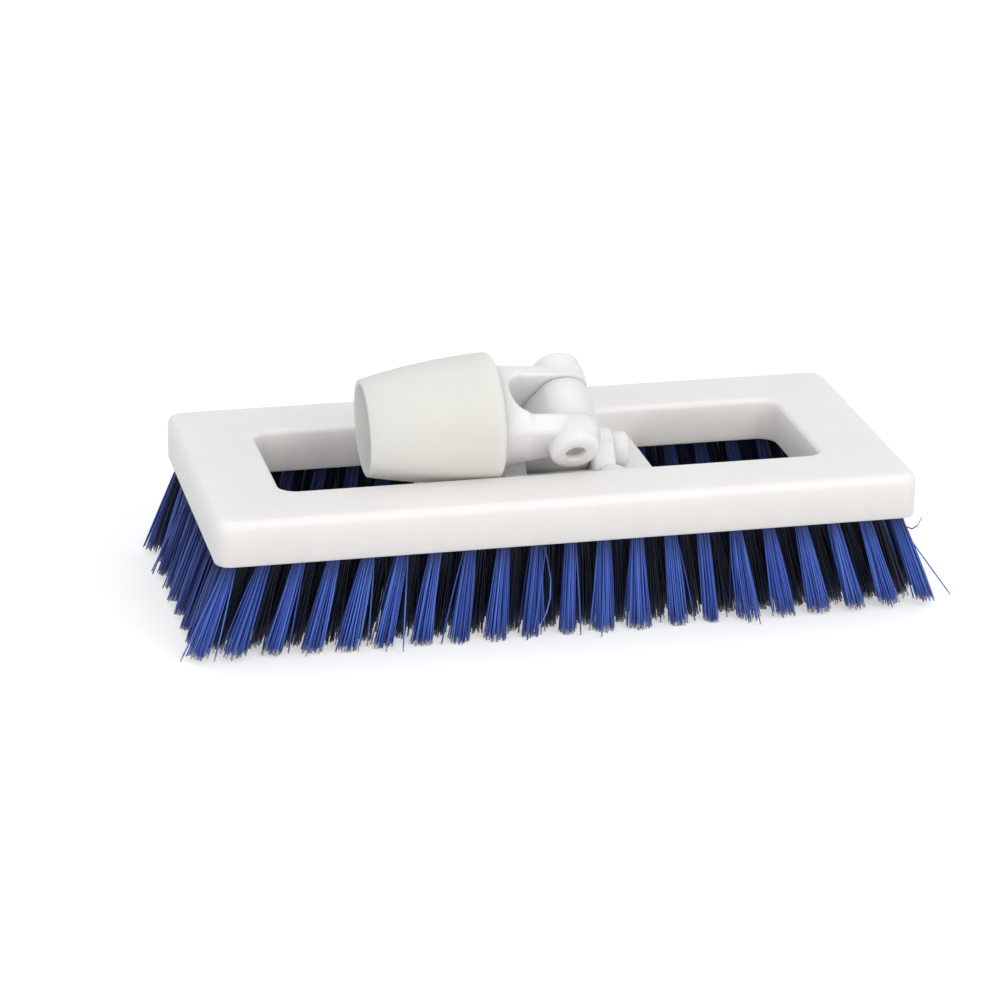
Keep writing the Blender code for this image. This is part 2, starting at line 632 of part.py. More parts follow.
def make_yoke(material, pitch_axis):
    """The clevis, drawn with the pin along Y and the socket's stem up Z."""
    rings = []
    for height, crown, edge in [(-ARM_END_RADIUS - OVERRUN, ARM_END_RADIUS, ARM_EDGE_HALF_DEPTH),
                                (0, ARM_END_RADIUS, ARM_EDGE_HALF_DEPTH),
                                (ARM_ROOT, ARM_ROOT_CROWN, ARM_ROOT_EDGE)]:
        half = [(crown, SLOT_HALF), (edge, YOKE_HALF_WIDTH), (-edge, YOKE_HALF_WIDTH), (-crown, SLOT_HALF)]
        rings.append([(x, y, height) for x, y in half + [(-x, -y) for x, y in half]])
    yoke = make_object("yoke", skin(rings), material, pitch_axis)
    shape = along_y(arm_outline, -YOKE_HALF_WIDTH, YOKE_HALF_WIDTH, ARM_ROUND)
    combine(yoke, make_object("arm_shape", shape, parent=pitch_axis), "INTERSECT")
    snap = COLLAR_END + SNAP_START
    stem = turned([
        (FLARE_START_RADIUS, FLARE_START), (FLARE_HIP_RADIUS, FLARE_HIP),
        (FLARE_WAIST_RADIUS, FLARE_WAIST), (COLLAR_RADIUS, COLLAR_START), (COLLAR_RADIUS, COLLAR_END),
        (STEM_RADIUS, COLLAR_END), (STEM_RADIUS, snap),
        (STEM_RADIUS + SNAP_RISE, snap + SNAP_RAMP),
        (STEM_RADIUS + SNAP_RISE, snap + SNAP_RAMP + SNAP_LENGTH),
        (STEM_RADIUS, snap + 2 * SNAP_RAMP + SNAP_LENGTH),
        (STEM_RADIUS, STEM_END - STEM_LEAD), (STEM_RADIUS - STEM_LEAD, STEM_END)], TURN_STEPS)
    add(yoke, "stem_shape", stem)
    for name, sign in [("near_boss", -1), ("far_boss", 1)]:
        inner, face = sorted((sign * (YOKE_HALF_WIDTH - ARM_BOSS_RISE), sign * BOSS_FACE))
        add(yoke, name, rod_y(ARM_BOSS_RADIUS, inner, face, TURN_STEPS, ARM_BOSS_ROUND))
    slot = round_ended(SLOT_HALF, SLOT_DEPTH - SLOT_HALF, -ARM_END_RADIUS - OVERRUN, TURN_STEPS // 2)
    reach = COLLAR_RADIUS + OVERRUN
    cut(yoke, "slot_tool", skin([[(x, y, z) for y, z in slot] for x in (-reach, reach)]))
    reach = BOSS_FACE + OVERRUN
    cut(yoke, "yoke_pin_hole", rod_y(HOLE_RADIUS, -reach, reach, PIN_STEPS))
    core = STEM_RADIUS - STEM_WALL
    cut(yoke, "stem_core", turned([(core, COLLAR_END + STEM_FLOOR), (core, STEM_END + OVERRUN)],
                                  TURN_STEPS))
    return yoke


def make_yoke_pin(material, pitch_axis):
    """The cross pin, set back a little in both bosses."""
    half = BOSS_FACE - YOKE_PIN_SETBACK
    return make_object("yoke_pin", rod_y(PIN_RADIUS, -half, half, PIN_STEPS, PIN_CHAMFER),
                       material, pitch_axis)


def sleeve_radius(share):
    """Outer radius of the socket at a share of its length, with a slight swell between its ends."""
    straight = SLEEVE_BIG_RADIUS + (SLEEVE_MOUTH_RADIUS - SLEEVE_BIG_RADIUS) * share
    return straight + SLEEVE_SWELL * 4 * share * (1 - share)


def make_sleeve(material, pitch_axis):
    """The conical handle socket: a tube whose wide end snaps over the yoke's stem."""
    outer_steps = 8
    low = SLEEVE_START + SLEEVE_BIG_ROUND
    high = SLEEVE_END - SLEEVE_RIM_ROUND
    profile = quarter(SLEEVE_BIG_RADIUS - SLEEVE_BIG_ROUND, low, SLEEVE_BIG_ROUND, -pi / 2)
    for k in range(1, outer_steps + 1):
        share = k / outer_steps
        profile.append((sleeve_radius(share), low + (high - low) * share))
    bore = STEM_RADIUS + GAP
    groove = COLLAR_END + SNAP_START
    floor = STEM_END + GAP
    profile += [
        (SLEEVE_MOUTH_RADIUS - SLEEVE_RIM_ROUND, SLEEVE_END),
        (BORE_MOUTH_RADIUS + SLEEVE_RIM_ROUND, SLEEVE_END),
        (BORE_MOUTH_RADIUS, SLEEVE_END - SLEEVE_RIM_ROUND),
        (BORE_FLOOR_RADIUS, floor + BORE_STEP), (bore, floor),
        (bore, groove + 2 * SNAP_RAMP + SNAP_LENGTH + GAP),
        (bore + SNAP_RISE, groove + SNAP_RAMP + SNAP_LENGTH + GAP),
        (bore + SNAP_RISE, groove + SNAP_RAMP - GAP),
        (bore, groove - GAP), (bore, SLEEVE_START)]
    return make_object("socket_sleeve", turned(profile, TURN_STEPS, closed=True), material, pitch_axis)


def main():
    """Builds the whole brush."""
    for obj in list(bpy.data.objects):
        bpy.data.objects.remove(obj, do_unlink=True)
    white = make_material("block_white", WHITE, 0.42)
    joint_white = make_material("joint_white", WHITE, 0.35)
    socket_white = make_material("socket_white", SOCKET_WHITE, 0.45)
    natural = make_material("base_natural", NATURAL, 0.30)
    blue = make_material("bristle_blue", BLUE, 0.40)
    steel = make_material("pin_steel", STEEL, 0.35, 1.0)

    rows = bristle_rows()
    make_block(white, rows)
    for row in rows:
        make_bristle_row(row, blue)
    make_base(natural)
    for k, place in enumerate(screw_places()):
        make_screw(f"base_screw_{k + 1}", place, steel)
    make_roll_pin(joint_white)
    make_roll_ring(steel)

    roll_axis = make_empty("roll_axis", ROLL_CENTRE, (ROLL_REST, 0, 0))
    make_knuckle(joint_white, roll_axis)
    pitch_axis = make_empty("pitch_axis", (0, 0, AXIS_SPACING), (0, -(pi / 2 + DIP_REST), 0), roll_axis)
    make_yoke(joint_white, pitch_axis)
    make_yoke_pin(steel, pitch_axis)
    make_sleeve(socket_white, pitch_axis)


main()
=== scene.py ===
"""Looks of the deck brush: a white moulded block, blue bristle tufts and a swivelling handle socket.

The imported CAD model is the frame. Shapes here are worked out in millimetres, mostly in the frame
of the sub-assembly that they belong to, and are placed into the CAD frame in metres.
"""
import json
import logging
import math
from dataclasses import dataclass, field
from enum import Enum
from typing import Callable

import bmesh
import bpy
import numpy as np
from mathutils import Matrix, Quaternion, Vector


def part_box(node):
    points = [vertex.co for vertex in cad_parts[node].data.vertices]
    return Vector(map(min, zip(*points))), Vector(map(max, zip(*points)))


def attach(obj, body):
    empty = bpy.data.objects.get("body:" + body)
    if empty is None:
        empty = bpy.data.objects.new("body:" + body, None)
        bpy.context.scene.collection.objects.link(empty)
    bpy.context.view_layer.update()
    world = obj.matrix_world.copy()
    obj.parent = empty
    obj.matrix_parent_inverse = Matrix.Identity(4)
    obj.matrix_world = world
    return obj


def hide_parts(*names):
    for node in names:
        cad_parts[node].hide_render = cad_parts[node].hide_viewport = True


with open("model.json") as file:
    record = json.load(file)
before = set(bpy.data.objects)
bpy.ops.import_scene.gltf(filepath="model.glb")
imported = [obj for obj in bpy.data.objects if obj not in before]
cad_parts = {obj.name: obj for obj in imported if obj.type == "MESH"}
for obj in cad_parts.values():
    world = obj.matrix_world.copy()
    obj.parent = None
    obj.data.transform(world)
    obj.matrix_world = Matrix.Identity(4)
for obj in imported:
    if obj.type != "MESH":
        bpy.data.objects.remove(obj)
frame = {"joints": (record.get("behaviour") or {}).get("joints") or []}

Array = np.ndarray
Field = Callable[[Array, Array, Array], Array]

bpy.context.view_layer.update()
MM = 0.001
GOLDEN_TURN = math.pi * (3 - math.sqrt(5))
SMOOTH_ANGLE = math.radians(38)

logging.basicConfig(level=logging.INFO, format="%(message)s")
log = logging.getLogger("deck_brush")


class Body(Enum):
    """The CAD bodies that pieces ride on."""

    BRUSH = "brush"
    KNUCKLE = "knuckle"
    SOCKET = "socket"


class Slot(Enum):
    """The record's material slots."""

    BLOCK = "block_white"
    JOINT = "joint_white"
    SOCKET = "socket_white"
    BASE = "base_natural"
    BRISTLE = "bristle_blue"
    STEEL = "pin_steel"


# Shader maths


class Link:
    """A socket or a number in a node tree, with operators that add Math nodes."""

    def __init__(self, paint: "Paint", value) -> None:
        """Wraps a node's output socket, or a plain number."""
        self.paint = paint
        self.value = value

    def _math(self, operation: str, *others) -> "Link":
        """Adds one Math node that takes this value first."""
        return self.paint.node("ShaderNodeMath", {"operation": operation}, dict(enumerate((self, *others))))

    def __add__(self, other) -> "Link":
        """Sum."""
        return self._math("ADD", other)

    def __sub__(self, other) -> "Link":
        """Difference."""
        return self._math("SUBTRACT", other)

    def __mul__(self, other) -> "Link":
        """Product."""
        return self._math("MULTIPLY", other)

    def __rsub__(self, other) -> "Link":
        """A number less this value."""
        return Link(self.paint, other)._math("SUBTRACT", self)

    __radd__ = __add__
    __rmul__ = __mul__

    def power(self, exponent: float) -> "Link":
        """This value to a power."""
        return self._math("POWER", exponent)

    def step(self, low: float, high: float) -> "Link":
        """A smooth rise from 0 at low to 1 at high."""
        values = {"Value": self, "From Min": low, "From Max": high, "To Min": 0.0, "To Max": 1.0}
        return self.paint.node("ShaderNodeMapRange", {"interpolation_type": "SMOOTHSTEP"}, values)


class Paint:
    """One procedural material, written as a few calls."""

    def __init__(self, name: str) -> None:
        """Makes an empty material that has only its shader and output."""
        self.material = bpy.data.materials.new(name)
        self.material.use_nodes = True
        self.tree = self.material.node_tree
        self.shader = self.tree.nodes["Principled BSDF"]

    def node(self, kind: str, settings: dict | None = None, values: dict | None = None,
             output: int | str = 0) -> Link:
        """Adds a node.

        Args:
            kind: the node's Blender type.
            settings: attributes of the node, set before its sockets.
            values: a number, colour, vector or Link for sockets by name or index.
            output: which output is returned.

        Returns:
            The chosen output as a Link.
        """
        node = self.tree.nodes.new(kind)
        for key, value in (settings or {}).items():
            setattr(node, key, value)
        for key, value in (values or {}).items():
            self.feed(node.inputs[key], value)
        return Link(self, node.outputs[output])

    def feed(self, socket: bpy.types.NodeSocket, value) -> None:
        """Links or sets one input socket."""
        if isinstance(value, Link):
            value = value.value
        if isinstance(value, bpy.types.NodeSocket):
            self.tree.links.new(value, socket)
        elif isinstance(value, tuple) and len(value) == 3 and socket.type == "RGBA":
            socket.default_value = (*value, 1.0)
        else:
            socket.default_value = value

    def place(self) -> Link:
        """Object coordinates, in metres in the CAD frame."""
        return self.node("ShaderNodeTexCoord", output="Object")

    def attribute(self, name: str) -> Link:
        """A float attribute of the mesh."""
        settings = {"attribute_name": name, "attribute_type": "GEOMETRY"}
        return self.node("ShaderNodeAttribute", settings, output="Fac")

    def noise(self, size_mm: float, detail: float = 2.0, stretch: tuple = (1, 1, 1)) -> Link:
        """Noise from 0 to 1 whose lumps are about a size across, squeezed along the axes on demand."""
        moved = self.node("ShaderNodeVectorMath", {"operation": "MULTIPLY"},
                          {0: self.place(), 1: tuple(float(s) for s in stretch)})
        values = {"Vector": moved, "Scale": 1 / (size_mm * MM), "Detail": detail, "Roughness": 0.55}
        return self.node("ShaderNodeTexNoise", {"noise_dimensions": "3D"}, values)

    def mix(self, share: Link, low: tuple | Link, high: tuple | Link) -> Link:
        """A colour between two others; sockets 6 and 7 are the Mix node's colours, 2 its result."""
        return self.node("ShaderNodeMix", {"data_type": "RGBA"}, {0: share, 6: low, 7: high}, 2)

    def bump(self, height: Link, depth_mm: float, strength: float = 1.0,
             under: Link | None = None) -> Link:
        """A Bump node for a height from 0 to 1 that stands for a depth in millimetres."""
        values = {"Height": height, "Distance": depth_mm * MM, "Strength": strength}
        if under is not None:
            values["Normal"] = under
        return self.node("ShaderNodeBump", values=values)

    def finish(self, **sockets) -> bpy.types.Material:
        """Feeds the shader's sockets, named with underscores for spaces, and returns the material."""
        for key, value in sockets.items():
            self.feed(self.shader.inputs[key.replace("_", " ")], value)
        return self.material


def dimmed(colour: tuple, share: float) -> tuple:
    """A share of a colour."""
    return tuple(part * share for part in colour)


@dataclass(frozen=True)
class MouldedWhite:
    """White moulded plastic: even colour, faint flow clouds and the fine grain of a mould."""

    name: str
    colour: tuple
    roughness: float = 0.42
    cloud_share: float = 0.03
    cloud_mm: float = 26.0
    grain_mm: float = 0.35
    grain_depth_mm: float = 0.010
    ripple_depth_mm: float = 0.05
    scatter_share: float = 0.80
    scatter_mm: float = 9.0

    def material(self) -> bpy.types.Material:
        """Colour clouds of two sizes; roughness follows the small ones; two grains make the bump."""
        paint = Paint(self.name)
        cloud = paint.noise(self.cloud_mm, 3.0)
        fine = paint.noise(self.cloud_mm / 8, 2.0)
        shade = (cloud * 0.65 + fine * 0.35).step(0.30, 0.70)
        soft = paint.bump(paint.noise(self.cloud_mm / 3, 1.0), self.ripple_depth_mm, 0.35)
        grain = paint.noise(self.grain_mm, 2.0)
        return paint.finish(
            Base_Color=paint.mix(shade, dimmed(self.colour, 1 - self.cloud_share), self.colour),
            Roughness=fine * 0.10 + (self.roughness - 0.05),
            Normal=paint.bump(grain, self.grain_depth_mm, 0.6, soft),
            Subsurface_Weight=self.scatter_share, Subsurface_Radius=(0.92, 0.96, 1.0),
            Subsurface_Scale=self.scatter_mm * MM)


@dataclass(frozen=True)
class NaturalNylon:
    """Uncoloured nylon: milky and slightly clear, with a smooth skin."""

    name: str
    colour: tuple
    roughness: float = 0.24
    cloud_mm: float = 6.0
    grain_mm: float = 0.6
    scatter_share: float = 0.9
    scatter_mm: float = 8.0
    clearness: float = 0.04

    def material(self) -> bpy.types.Material:
        """Milky clouds in the colour, with constant scattering and a little clearness."""
        paint = Paint(self.name)
        cloud = paint.noise(self.cloud_mm, 3.0)
        return paint.finish(
            Base_Color=paint.mix(cloud.step(0.30, 0.72), dimmed(self.colour, 0.94), self.colour),
            Roughness=cloud * 0.10 + (self.roughness - 0.05),
            Normal=paint.bump(paint.noise(self.grain_mm, 2.0), 0.008, 0.5),
            Subsurface_Weight=self.scatter_share, Subsurface_Radius=(1.0, 1.0, 1.0),
            Subsurface_Scale=self.scatter_mm * MM, Transmission_Weight=self.clearness, IOR=1.52)


@dataclass(frozen=True)
class Filament:
    """Blue filament: glossy, with some filaments lighter than others, pale cut ends, and painted shade deep
    in the brush and near the block.
    """

    name: str
    colour: tuple
    pale: tuple
    end: tuple
    painted_shade_share: float = 0.05
    root_painted_shade_share: float = 0.15

    def material(self) -> bpy.types.Material:
        """Tone picks between two blues, painted shade darkens filaments deep in the brush and near the
        block, and along whitens the cut end.
        """
        paint = Paint(self.name)
        tone = paint.attribute("tone")
        along = paint.attribute("along")
        blue = paint.mix(tone.power(2.2), self.colour, self.pale)
        mottle = paint.noise(1.4, 2.0, (1, 1, 0.25))
        blue = paint.mix(mottle.step(0.35, 0.9) * 0.25, blue, self.pale)
        # Painted shade: the depth attribute darkens filaments in the inner rings, on the left side and
        # inside each tuft, more strongly near the block.
        hidden = (paint.attribute("depth") * (1.25 - along * 0.35)).step(0.05, 1.0)
        blue = paint.mix(hidden, blue, dimmed(self.colour, self.painted_shade_share))
        # Painted shade under the block: each filament darkens towards its root.
        root_painted_shade = 1.0 - along.step(0.02, 0.40)
        blue = paint.mix(root_painted_shade * 0.62, blue, dimmed(self.colour, self.root_painted_shade_share))
        # Each filament turns paler over its last few percent, towards its cut end.
        tip_reach = along + (tone - 0.5) * 0.06
        pale_tipped = paint.mix(tip_reach.step(0.945, 0.985) * (tone * 0.6 + 0.4), blue, self.end)
        return paint.finish(Base_Color=pale_tipped, Roughness=tone * 0.15 + 0.30)


@dataclass(frozen=True)
class DrawnSteel:
    """Plain drawn steel wire or sheet."""

    name: str
    colour: tuple
    roughness: float = 0.34

    def material(self) -> bpy.types.Material:
        """Fine scratches vary the roughness and the bump, with a little tarnish in the colour."""
        paint = Paint(self.name)
        scratch = paint.noise(0.5, 3.0, (1, 1, 6))
        tarnish = paint.noise(2.2, 3.0)
        dull = dimmed(self.colour, 0.72)
        return paint.finish(Base_Color=paint.mix(tarnish.step(0.35, 0.8), self.colour, dull),
                            Metallic=0.85, Roughness=scratch * 0.2 + self.roughness,
                            Normal=paint.bump(scratch, 0.004, 0.4))


@dataclass(frozen=True)
class PaleFloor:
    """A pale studio floor that keeps shadows and otherwise shows white to the camera."""

    name: str
    colour: tuple = (0.66, 0.66, 0.655)
    lift: float = 0.46

    def material(self) -> bpy.types.Material:
        """A matt colour, with a constant glow that only camera, mirror and clear rays see."""
        paint = Paint(self.name)
        seen, mirrored, clear = (paint.node("ShaderNodeLightPath", output=f"Is {ray} Ray")
                                 for ray in ("Camera", "Glossy", "Transmission"))
        return paint.finish(Base_Color=self.colour, Roughness=0.9, Specular_IOR_Level=0.1,
                            Emission_Color=seen + mirrored + clear, Emission_Strength=self.lift)


# Meshes


def make_mesh(name: str, points: Array, faces: list[Array]) -> bpy.types.Mesh:
    """Puts whole arrays into a mesh.

    Args:
        name: the mesh's name.
        points: (n, 3) places in metres.
        faces: arrays (count, corners) of point numbers, one array for each count of corners.

    Returns:
        The new mesh.
    """
    mesh = bpy.data.meshes.new(name)
    corners = np.concatenate([f.ravel() for f in faces]).astype(np.int32)
    sides = np.concatenate([np.full(len(f), f.shape[1]) for f in faces]).astype(np.int32)
    starts = np.concatenate([[0], np.cumsum(sides)[:-1]]).astype(np.int32)
    mesh.vertices.add(len(points))
    mesh.vertices.foreach_set("co", np.asarray(points, np.float32).ravel())
    mesh.loops.add(len(corners))
    mesh.loops.foreach_set("vertex_index", corners)
    mesh.polygons.add(len(sides))
    mesh.polygons.foreach_set("loop_start", starts)
    mesh.update(calc_edges=True)
    mesh.validate()
    return mesh


def turn_outwards(mesh: bpy.types.Mesh) -> None:
    """Turns every closed shell's faces outwards."""
    shell = bmesh.new()
    shell.from_mesh(mesh)
    bmesh.ops.recalc_face_normals(shell, faces=shell.faces)
    shell.to_mesh(mesh)
    shell.free()


def link_object(name: str, data: bpy.types.ID) -> bpy.types.Object:
    """A new object in the scene for a mesh, lamp or camera."""
    made = bpy.data.objects.new(name, data)
    bpy.context.scene.collection.objects.link(made)
    return made


def smooth(mesh: bpy.types.Mesh) -> None:
    """Smooth shading, apart from the sharp edges."""
    mesh.shade_smooth()
    mesh.set_sharp_from_angle(angle=SMOOTH_ANGLE)


def make_piece(name: str, points: Array, faces: list[Array],
               material: bpy.types.Material | None = None, outwards: bool = True) -> bpy.types.Object:
    """Makes an object at the origin, smooth apart from its sharp edges.

    Args:
        name: the object's and its mesh's name.
        points: (n, 3) places in metres.
        faces: arrays of point numbers, as make_mesh takes them.
        material: its only material, if it keeps one.
        outwards: turns the faces of every closed shell outwards.

    Returns:
        The new object.
    """
    mesh = make_mesh(name, points, faces)
    if outwards:
        turn_outwards(mesh)
    smooth(mesh)
    if material is not None:
        mesh.materials.append(material)
    return link_object(name, mesh)


def settle(piece: bpy.types.Object, body: Body, slot: Slot, *nodes: str) -> None:
    """Lets a finished piece ride on its body and stand for its CAD nodes, which are hidden."""
    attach(piece, body.value)
    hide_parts(*nodes)
    log.info("%s: %d faces on %s", piece.name, len(piece.data.polygons), body.value)


def add_piece(name: str, points: Array, faces: list[Array], material: bpy.types.Material,
              body: Body, slot: Slot, *nodes: str) -> None:
    """Makes a piece that needs no further work, and settles it."""
    settle(make_piece(name, points, faces, material), body, slot, *nodes)


def combine(piece: bpy.types.Object, tool: bpy.types.Object, operation: str) -> None:
    """Joins or cuts with another object, for good, and removes it."""
    modifier = piece.modifiers.new("combine", "BOOLEAN")
    modifier.operation = operation
    modifier.solver = "EXACT"
    modifier.object = tool
    graph = bpy.context.evaluated_depsgraph_get()
    made = bpy.data.meshes.new_from_object(piece.evaluated_get(graph))
    piece.modifiers.clear()
    piece.data = made
    bpy.data.objects.remove(tool)


def even_shading(piece: bpy.types.Object) -> None:
    """Keeps large flat faces evenly shaded beside their rounded edges."""
    modifier = piece.modifiers.new("even_shading", "WEIGHTED_NORMAL")
    modifier.keep_sharp = True
    modifier.weight = 100


def grid_faces(rows: int, columns: int, wrap_rows: bool = False, wrap_columns: bool = True) -> Array:
    """Quads of a grid of points, numbered row by row, joined round either way on demand."""
    r = np.arange(rows if wrap_rows else rows - 1)[:, None]
    c = np.arange(columns if wrap_columns else columns - 1)[None, :]
    up, over = (r + 1) % rows, (c + 1) % columns
    quads = [r * columns + c, r * columns + over, up * columns + over, up * columns + c]
    return np.stack([np.broadcast_to(q, (r.size, c.size)) for q in quads], -1).reshape(-1, 4)


def skin(rings: Array, closed: bool = False) -> tuple[Array, list[Array]]:
    """A closed surface through rings of points.

    Args:
        rings: (rows, columns, 3) points; each row is a ring.
        closed: joins the last ring to the first; otherwise both ends get a cap.

    Returns:
        The points and the faces.
    """
    rows, columns, _ = rings.shape
    faces = [grid_faces(rows, columns, closed)]
    if not closed:
        first = np.arange(columns)
        faces.append(np.stack([first[::-1], first + (rows - 1) * columns]))
    return rings.reshape(-1, 3), faces


def repeated(faces: list[Array], copies: int, points: int) -> list[Array]:
    """The faces of several copies of a mesh whose points follow each other, copy by copy."""
    shift = (np.arange(copies) * points)[:, None, None]
    return [(shift + face[None]).reshape(-1, face.shape[1]) for face in faces]


def turned(profile: Array, steps: int) -> Array:
    """Rings of a turned shape: each (radius, height) of the profile goes round in even steps."""
    turn = np.linspace(0, 2 * np.pi, steps, endpoint=False)
    radius, height = profile[:, :1], profile[:, 1:]
    return np.stack([radius * np.cos(turn), radius * np.sin(turn),
                     np.broadcast_to(height, (len(profile), steps))], -1)


def arc(centre: tuple, radius: float, start: float, end: float, steps: int) -> Array:
    """Points of an arc about a centre, with angles in degrees."""
    turn = np.radians(np.linspace(start, end, steps + 1))
    return np.stack([centre[0] + radius * np.cos(turn), centre[1] + radius * np.sin(turn)], -1)


def rounded_rectangle(half_x: float, half_y: float, corner: float, steps: int, side: int) -> Array:
    """Outline of a rectangle with round corners, with evenly spaced points on its sides too."""
    parts = []
    signs = [(1, 1), (-1, 1), (-1, -1), (1, -1)]
    for quarter, (sx, sy) in enumerate(signs):
        middle = (sx * (half_x - corner), sy * (half_y - corner))
        bend = arc(middle, corner, 90 * quarter, 90 * quarter + 90, steps)
        nx, ny = signs[(quarter + 1) % 4]
        next_middle = np.array([nx * (half_x - corner), ny * (half_y - corner)])
        start = bend[-1]
        end = next_middle + (start - np.array(middle))
        share = np.linspace(0, 1, side + 1)[1:-1, None]
        parts += [bend, start + (end - start) * share]
    return np.concatenate(parts)


# Blended solids: a distance is negative inside a shape


def length2(a: Array, b: Array) -> Array:
    """Length of a vector in a plane."""
    return np.sqrt(a * a + b * b)


def meet(a: Array, b: Array, edge: float) -> Array:
    """What two shapes share, with the edge between them rounded to a radius."""
    outside = length2(np.maximum(a + edge, 0), np.maximum(b + edge, 0))
    return np.minimum(-edge, np.maximum(a, b)) + outside


def join(a: Array, b: Array, fillet: float) -> Array:
    """Two shapes as one, with a round fillet in the corner between them."""
    inside = length2(np.maximum(fillet - a, 0), np.maximum(fillet - b, 0))
    return np.maximum(fillet, np.minimum(a, b)) - inside


def remove(a: Array, b: Array, edge: float) -> Array:
    """The first shape without the second, with the cut's edge rounded."""
    return meet(a, -b, edge)


def flanked(across: Array, up: Array, radius: float, half: float, drop: float) -> tuple[Array, Array]:
    """A round head on straight flanks that touch it and run down to a wider foot.

    Args:
        across: distance from the middle line, without its sign.
        up: height over the head's centre.
        radius: the head's radius.
        half: half the foot's width.
        drop: how far the foot lies below the centre.

    Returns:
        Distance to the flank, and where the round head takes its place.
    """
    lean = math.acos(radius / math.hypot(half, drop)) - math.atan2(drop, half)
    cos, sin = math.cos(lean), math.sin(lean)
    return across * cos + up * sin - radius, up * cos > across * sin


def smooth_rise(value: Array, low: float, high: float) -> Array:
    """A rise from 0 at low to 1 at high, level at both ends."""
    share = np.clip((value - low) / (high - low), 0, 1)
    return share * share * (3 - 2 * share)


def cell_points(values: Array, low: Array, pitch: float) -> tuple[Array, Array]:
    """One point in every cell that the surface crosses: the mean of the crossings of its edges.

    Args:
        values: distances at the grid's nodes.
        low: the grid's lowest corner.
        pitch: spacing of the nodes.

    Returns:
        The points, and for every cell the number of its point.
    """
    shape = tuple(n - 1 for n in values.shape)
    total = np.zeros((*shape, 3), np.float32)
    count = np.zeros(shape, np.float32)
    for axis, *near in np.ndindex(3, 2, 2, 2):
        if near[axis]:
            continue
        far = [int(k == axis) or near[k] for k in range(3)]
        a, b = (values[tuple(slice(s, s + n) for s, n in zip(start, shape))] for start in (near, far))
        crossed = (a < 0) != (b < 0)
        share = np.where(crossed, a / np.where(crossed, a - b, 1), 0)
        for k in range(3):
            total[..., k] += share if k == axis else crossed * near[k]
        count += crossed
    held = count > 0
    number = np.full(shape, -1, np.int64)
    number[held] = np.arange(held.sum())
    corner = np.argwhere(held)
    return low + pitch * (corner + total[held] / count[held][:, None]), number


def cell_quads(values: Array, number: Array) -> Array:
    """One quad for every grid edge that the surface crosses, between the points of its four cells."""
    quads = []
    inside = values < 0
    for axis in range(3):
        u, v = (axis + 1) % 3, (axis + 2) % 3
        near = [slice(1, -1)] * 3
        near[axis] = slice(0, -1)
        far = list(near)
        far[axis] = slice(1, None)
        a, b = inside[tuple(near)], inside[tuple(far)]
        place = np.argwhere(a != b)
        corners = []
        for over, up in ((0, 0), (1, 0), (1, 1), (0, 1)):
            cell = place.copy()
            cell[:, u] += over
            cell[:, v] += up
            corners.append(number[tuple(cell.T)])
        quad = np.stack(corners, -1)
        quads.append(np.where(a[a != b][:, None], quad, quad[:, ::-1]))
    return np.concatenate(quads)


def net_surface(shape: Field, low: tuple, high: tuple, pitch: float) -> tuple[Array, Array]:
    """The surface of a blended solid, drawn as a net of small quads.

    Each point is then moved along the steepest slope until its distance is zero.

    Args:
        shape: distance of a point, in millimetres.
        low: lowest corner of the space to search.
        high: highest corner of it.
        pitch: size of the net's cells.

    Returns:
        Points in millimetres, and quads that face outwards.
    """
    low = np.array(low, float)
    axes = [np.arange(a, b + pitch, pitch) for a, b in zip(low, high)]
    x, y, z = np.meshgrid(*axes, indexing="ij", sparse=True)
    values = np.asarray(shape(x, y, z), np.float32)
    points, number = cell_points(values, low, pitch)
    small = pitch * 0.05
    for _ in range(3):
        x, y, z = points.T
        here = shape(x, y, z)
        slope = np.stack([shape(x + small, y, z) - shape(x - small, y, z),
                          shape(x, y + small, z) - shape(x, y - small, z),
                          shape(x, y, z + small) - shape(x, y, z - small)], -1) / (2 * small)
        steep = np.maximum((slope ** 2).sum(-1), 0.2)
        move = slope * (here / steep)[:, None]
        points = points - np.clip(move, -pitch / 2, pitch / 2)
    return points, cell_quads(values, number)


# Places


@dataclass(frozen=True)
class Place:
    """A right-handed set of axes in the CAD frame, for shapes drawn in millimetres."""

    origin: Vector
    x_axis: Vector
    y_axis: Vector

    def to_frame(self, points: Array) -> Array:
        """Points in millimetres along these axes, as metres in the CAD frame."""
        z_axis = self.x_axis.cross(self.y_axis)
        turn = np.array([self.x_axis, self.y_axis, z_axis])
        return np.array(self.origin) + MM * (points.reshape(-1, 3) @ turn)


@dataclass(frozen=True)
class Swivel:
    """Where the two axes of the swivel lie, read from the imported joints."""

    dip: float = math.radians(2.6)

    @staticmethod
    def joint(name: str) -> tuple[Vector, Vector]:
        """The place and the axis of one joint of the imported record."""
        found = next(j for j in frame["joints"] if j["name"] == name)
        return Vector(found["pos_m"]), Vector(found["axis"])

    @property
    def base(self) -> Place:
        """Origin on the roll axis, with the block's own axes."""
        return Place(self.joint("roll")[0], Vector((1, 0, 0)), Vector((0, 1, 0)))

    @property
    def spacing(self) -> float:
        """Distance between the two axes, in millimetres."""
        return (self.joint("pitch")[0] - self.joint("roll")[0]).length / MM

    @property
    def knuckle(self) -> Place:
        """Origin on the roll axis, Y along the yoke's pin, Z towards that pin."""
        return Place(self.joint("roll")[0], Vector((1, 0, 0)), self.joint("pitch")[1])

    @property
    def yoke(self) -> Place:
        """Origin on the yoke's pin, Y along the pin, Z down the socket to its mouth."""
        place, pin = self.joint("pitch")
        pin.normalize()
        along = Vector((1, 0, 0))
        return Place(place, along.cross(pin) * math.cos(self.dip) - along * math.sin(self.dip), pin)


# Sub-assemblies


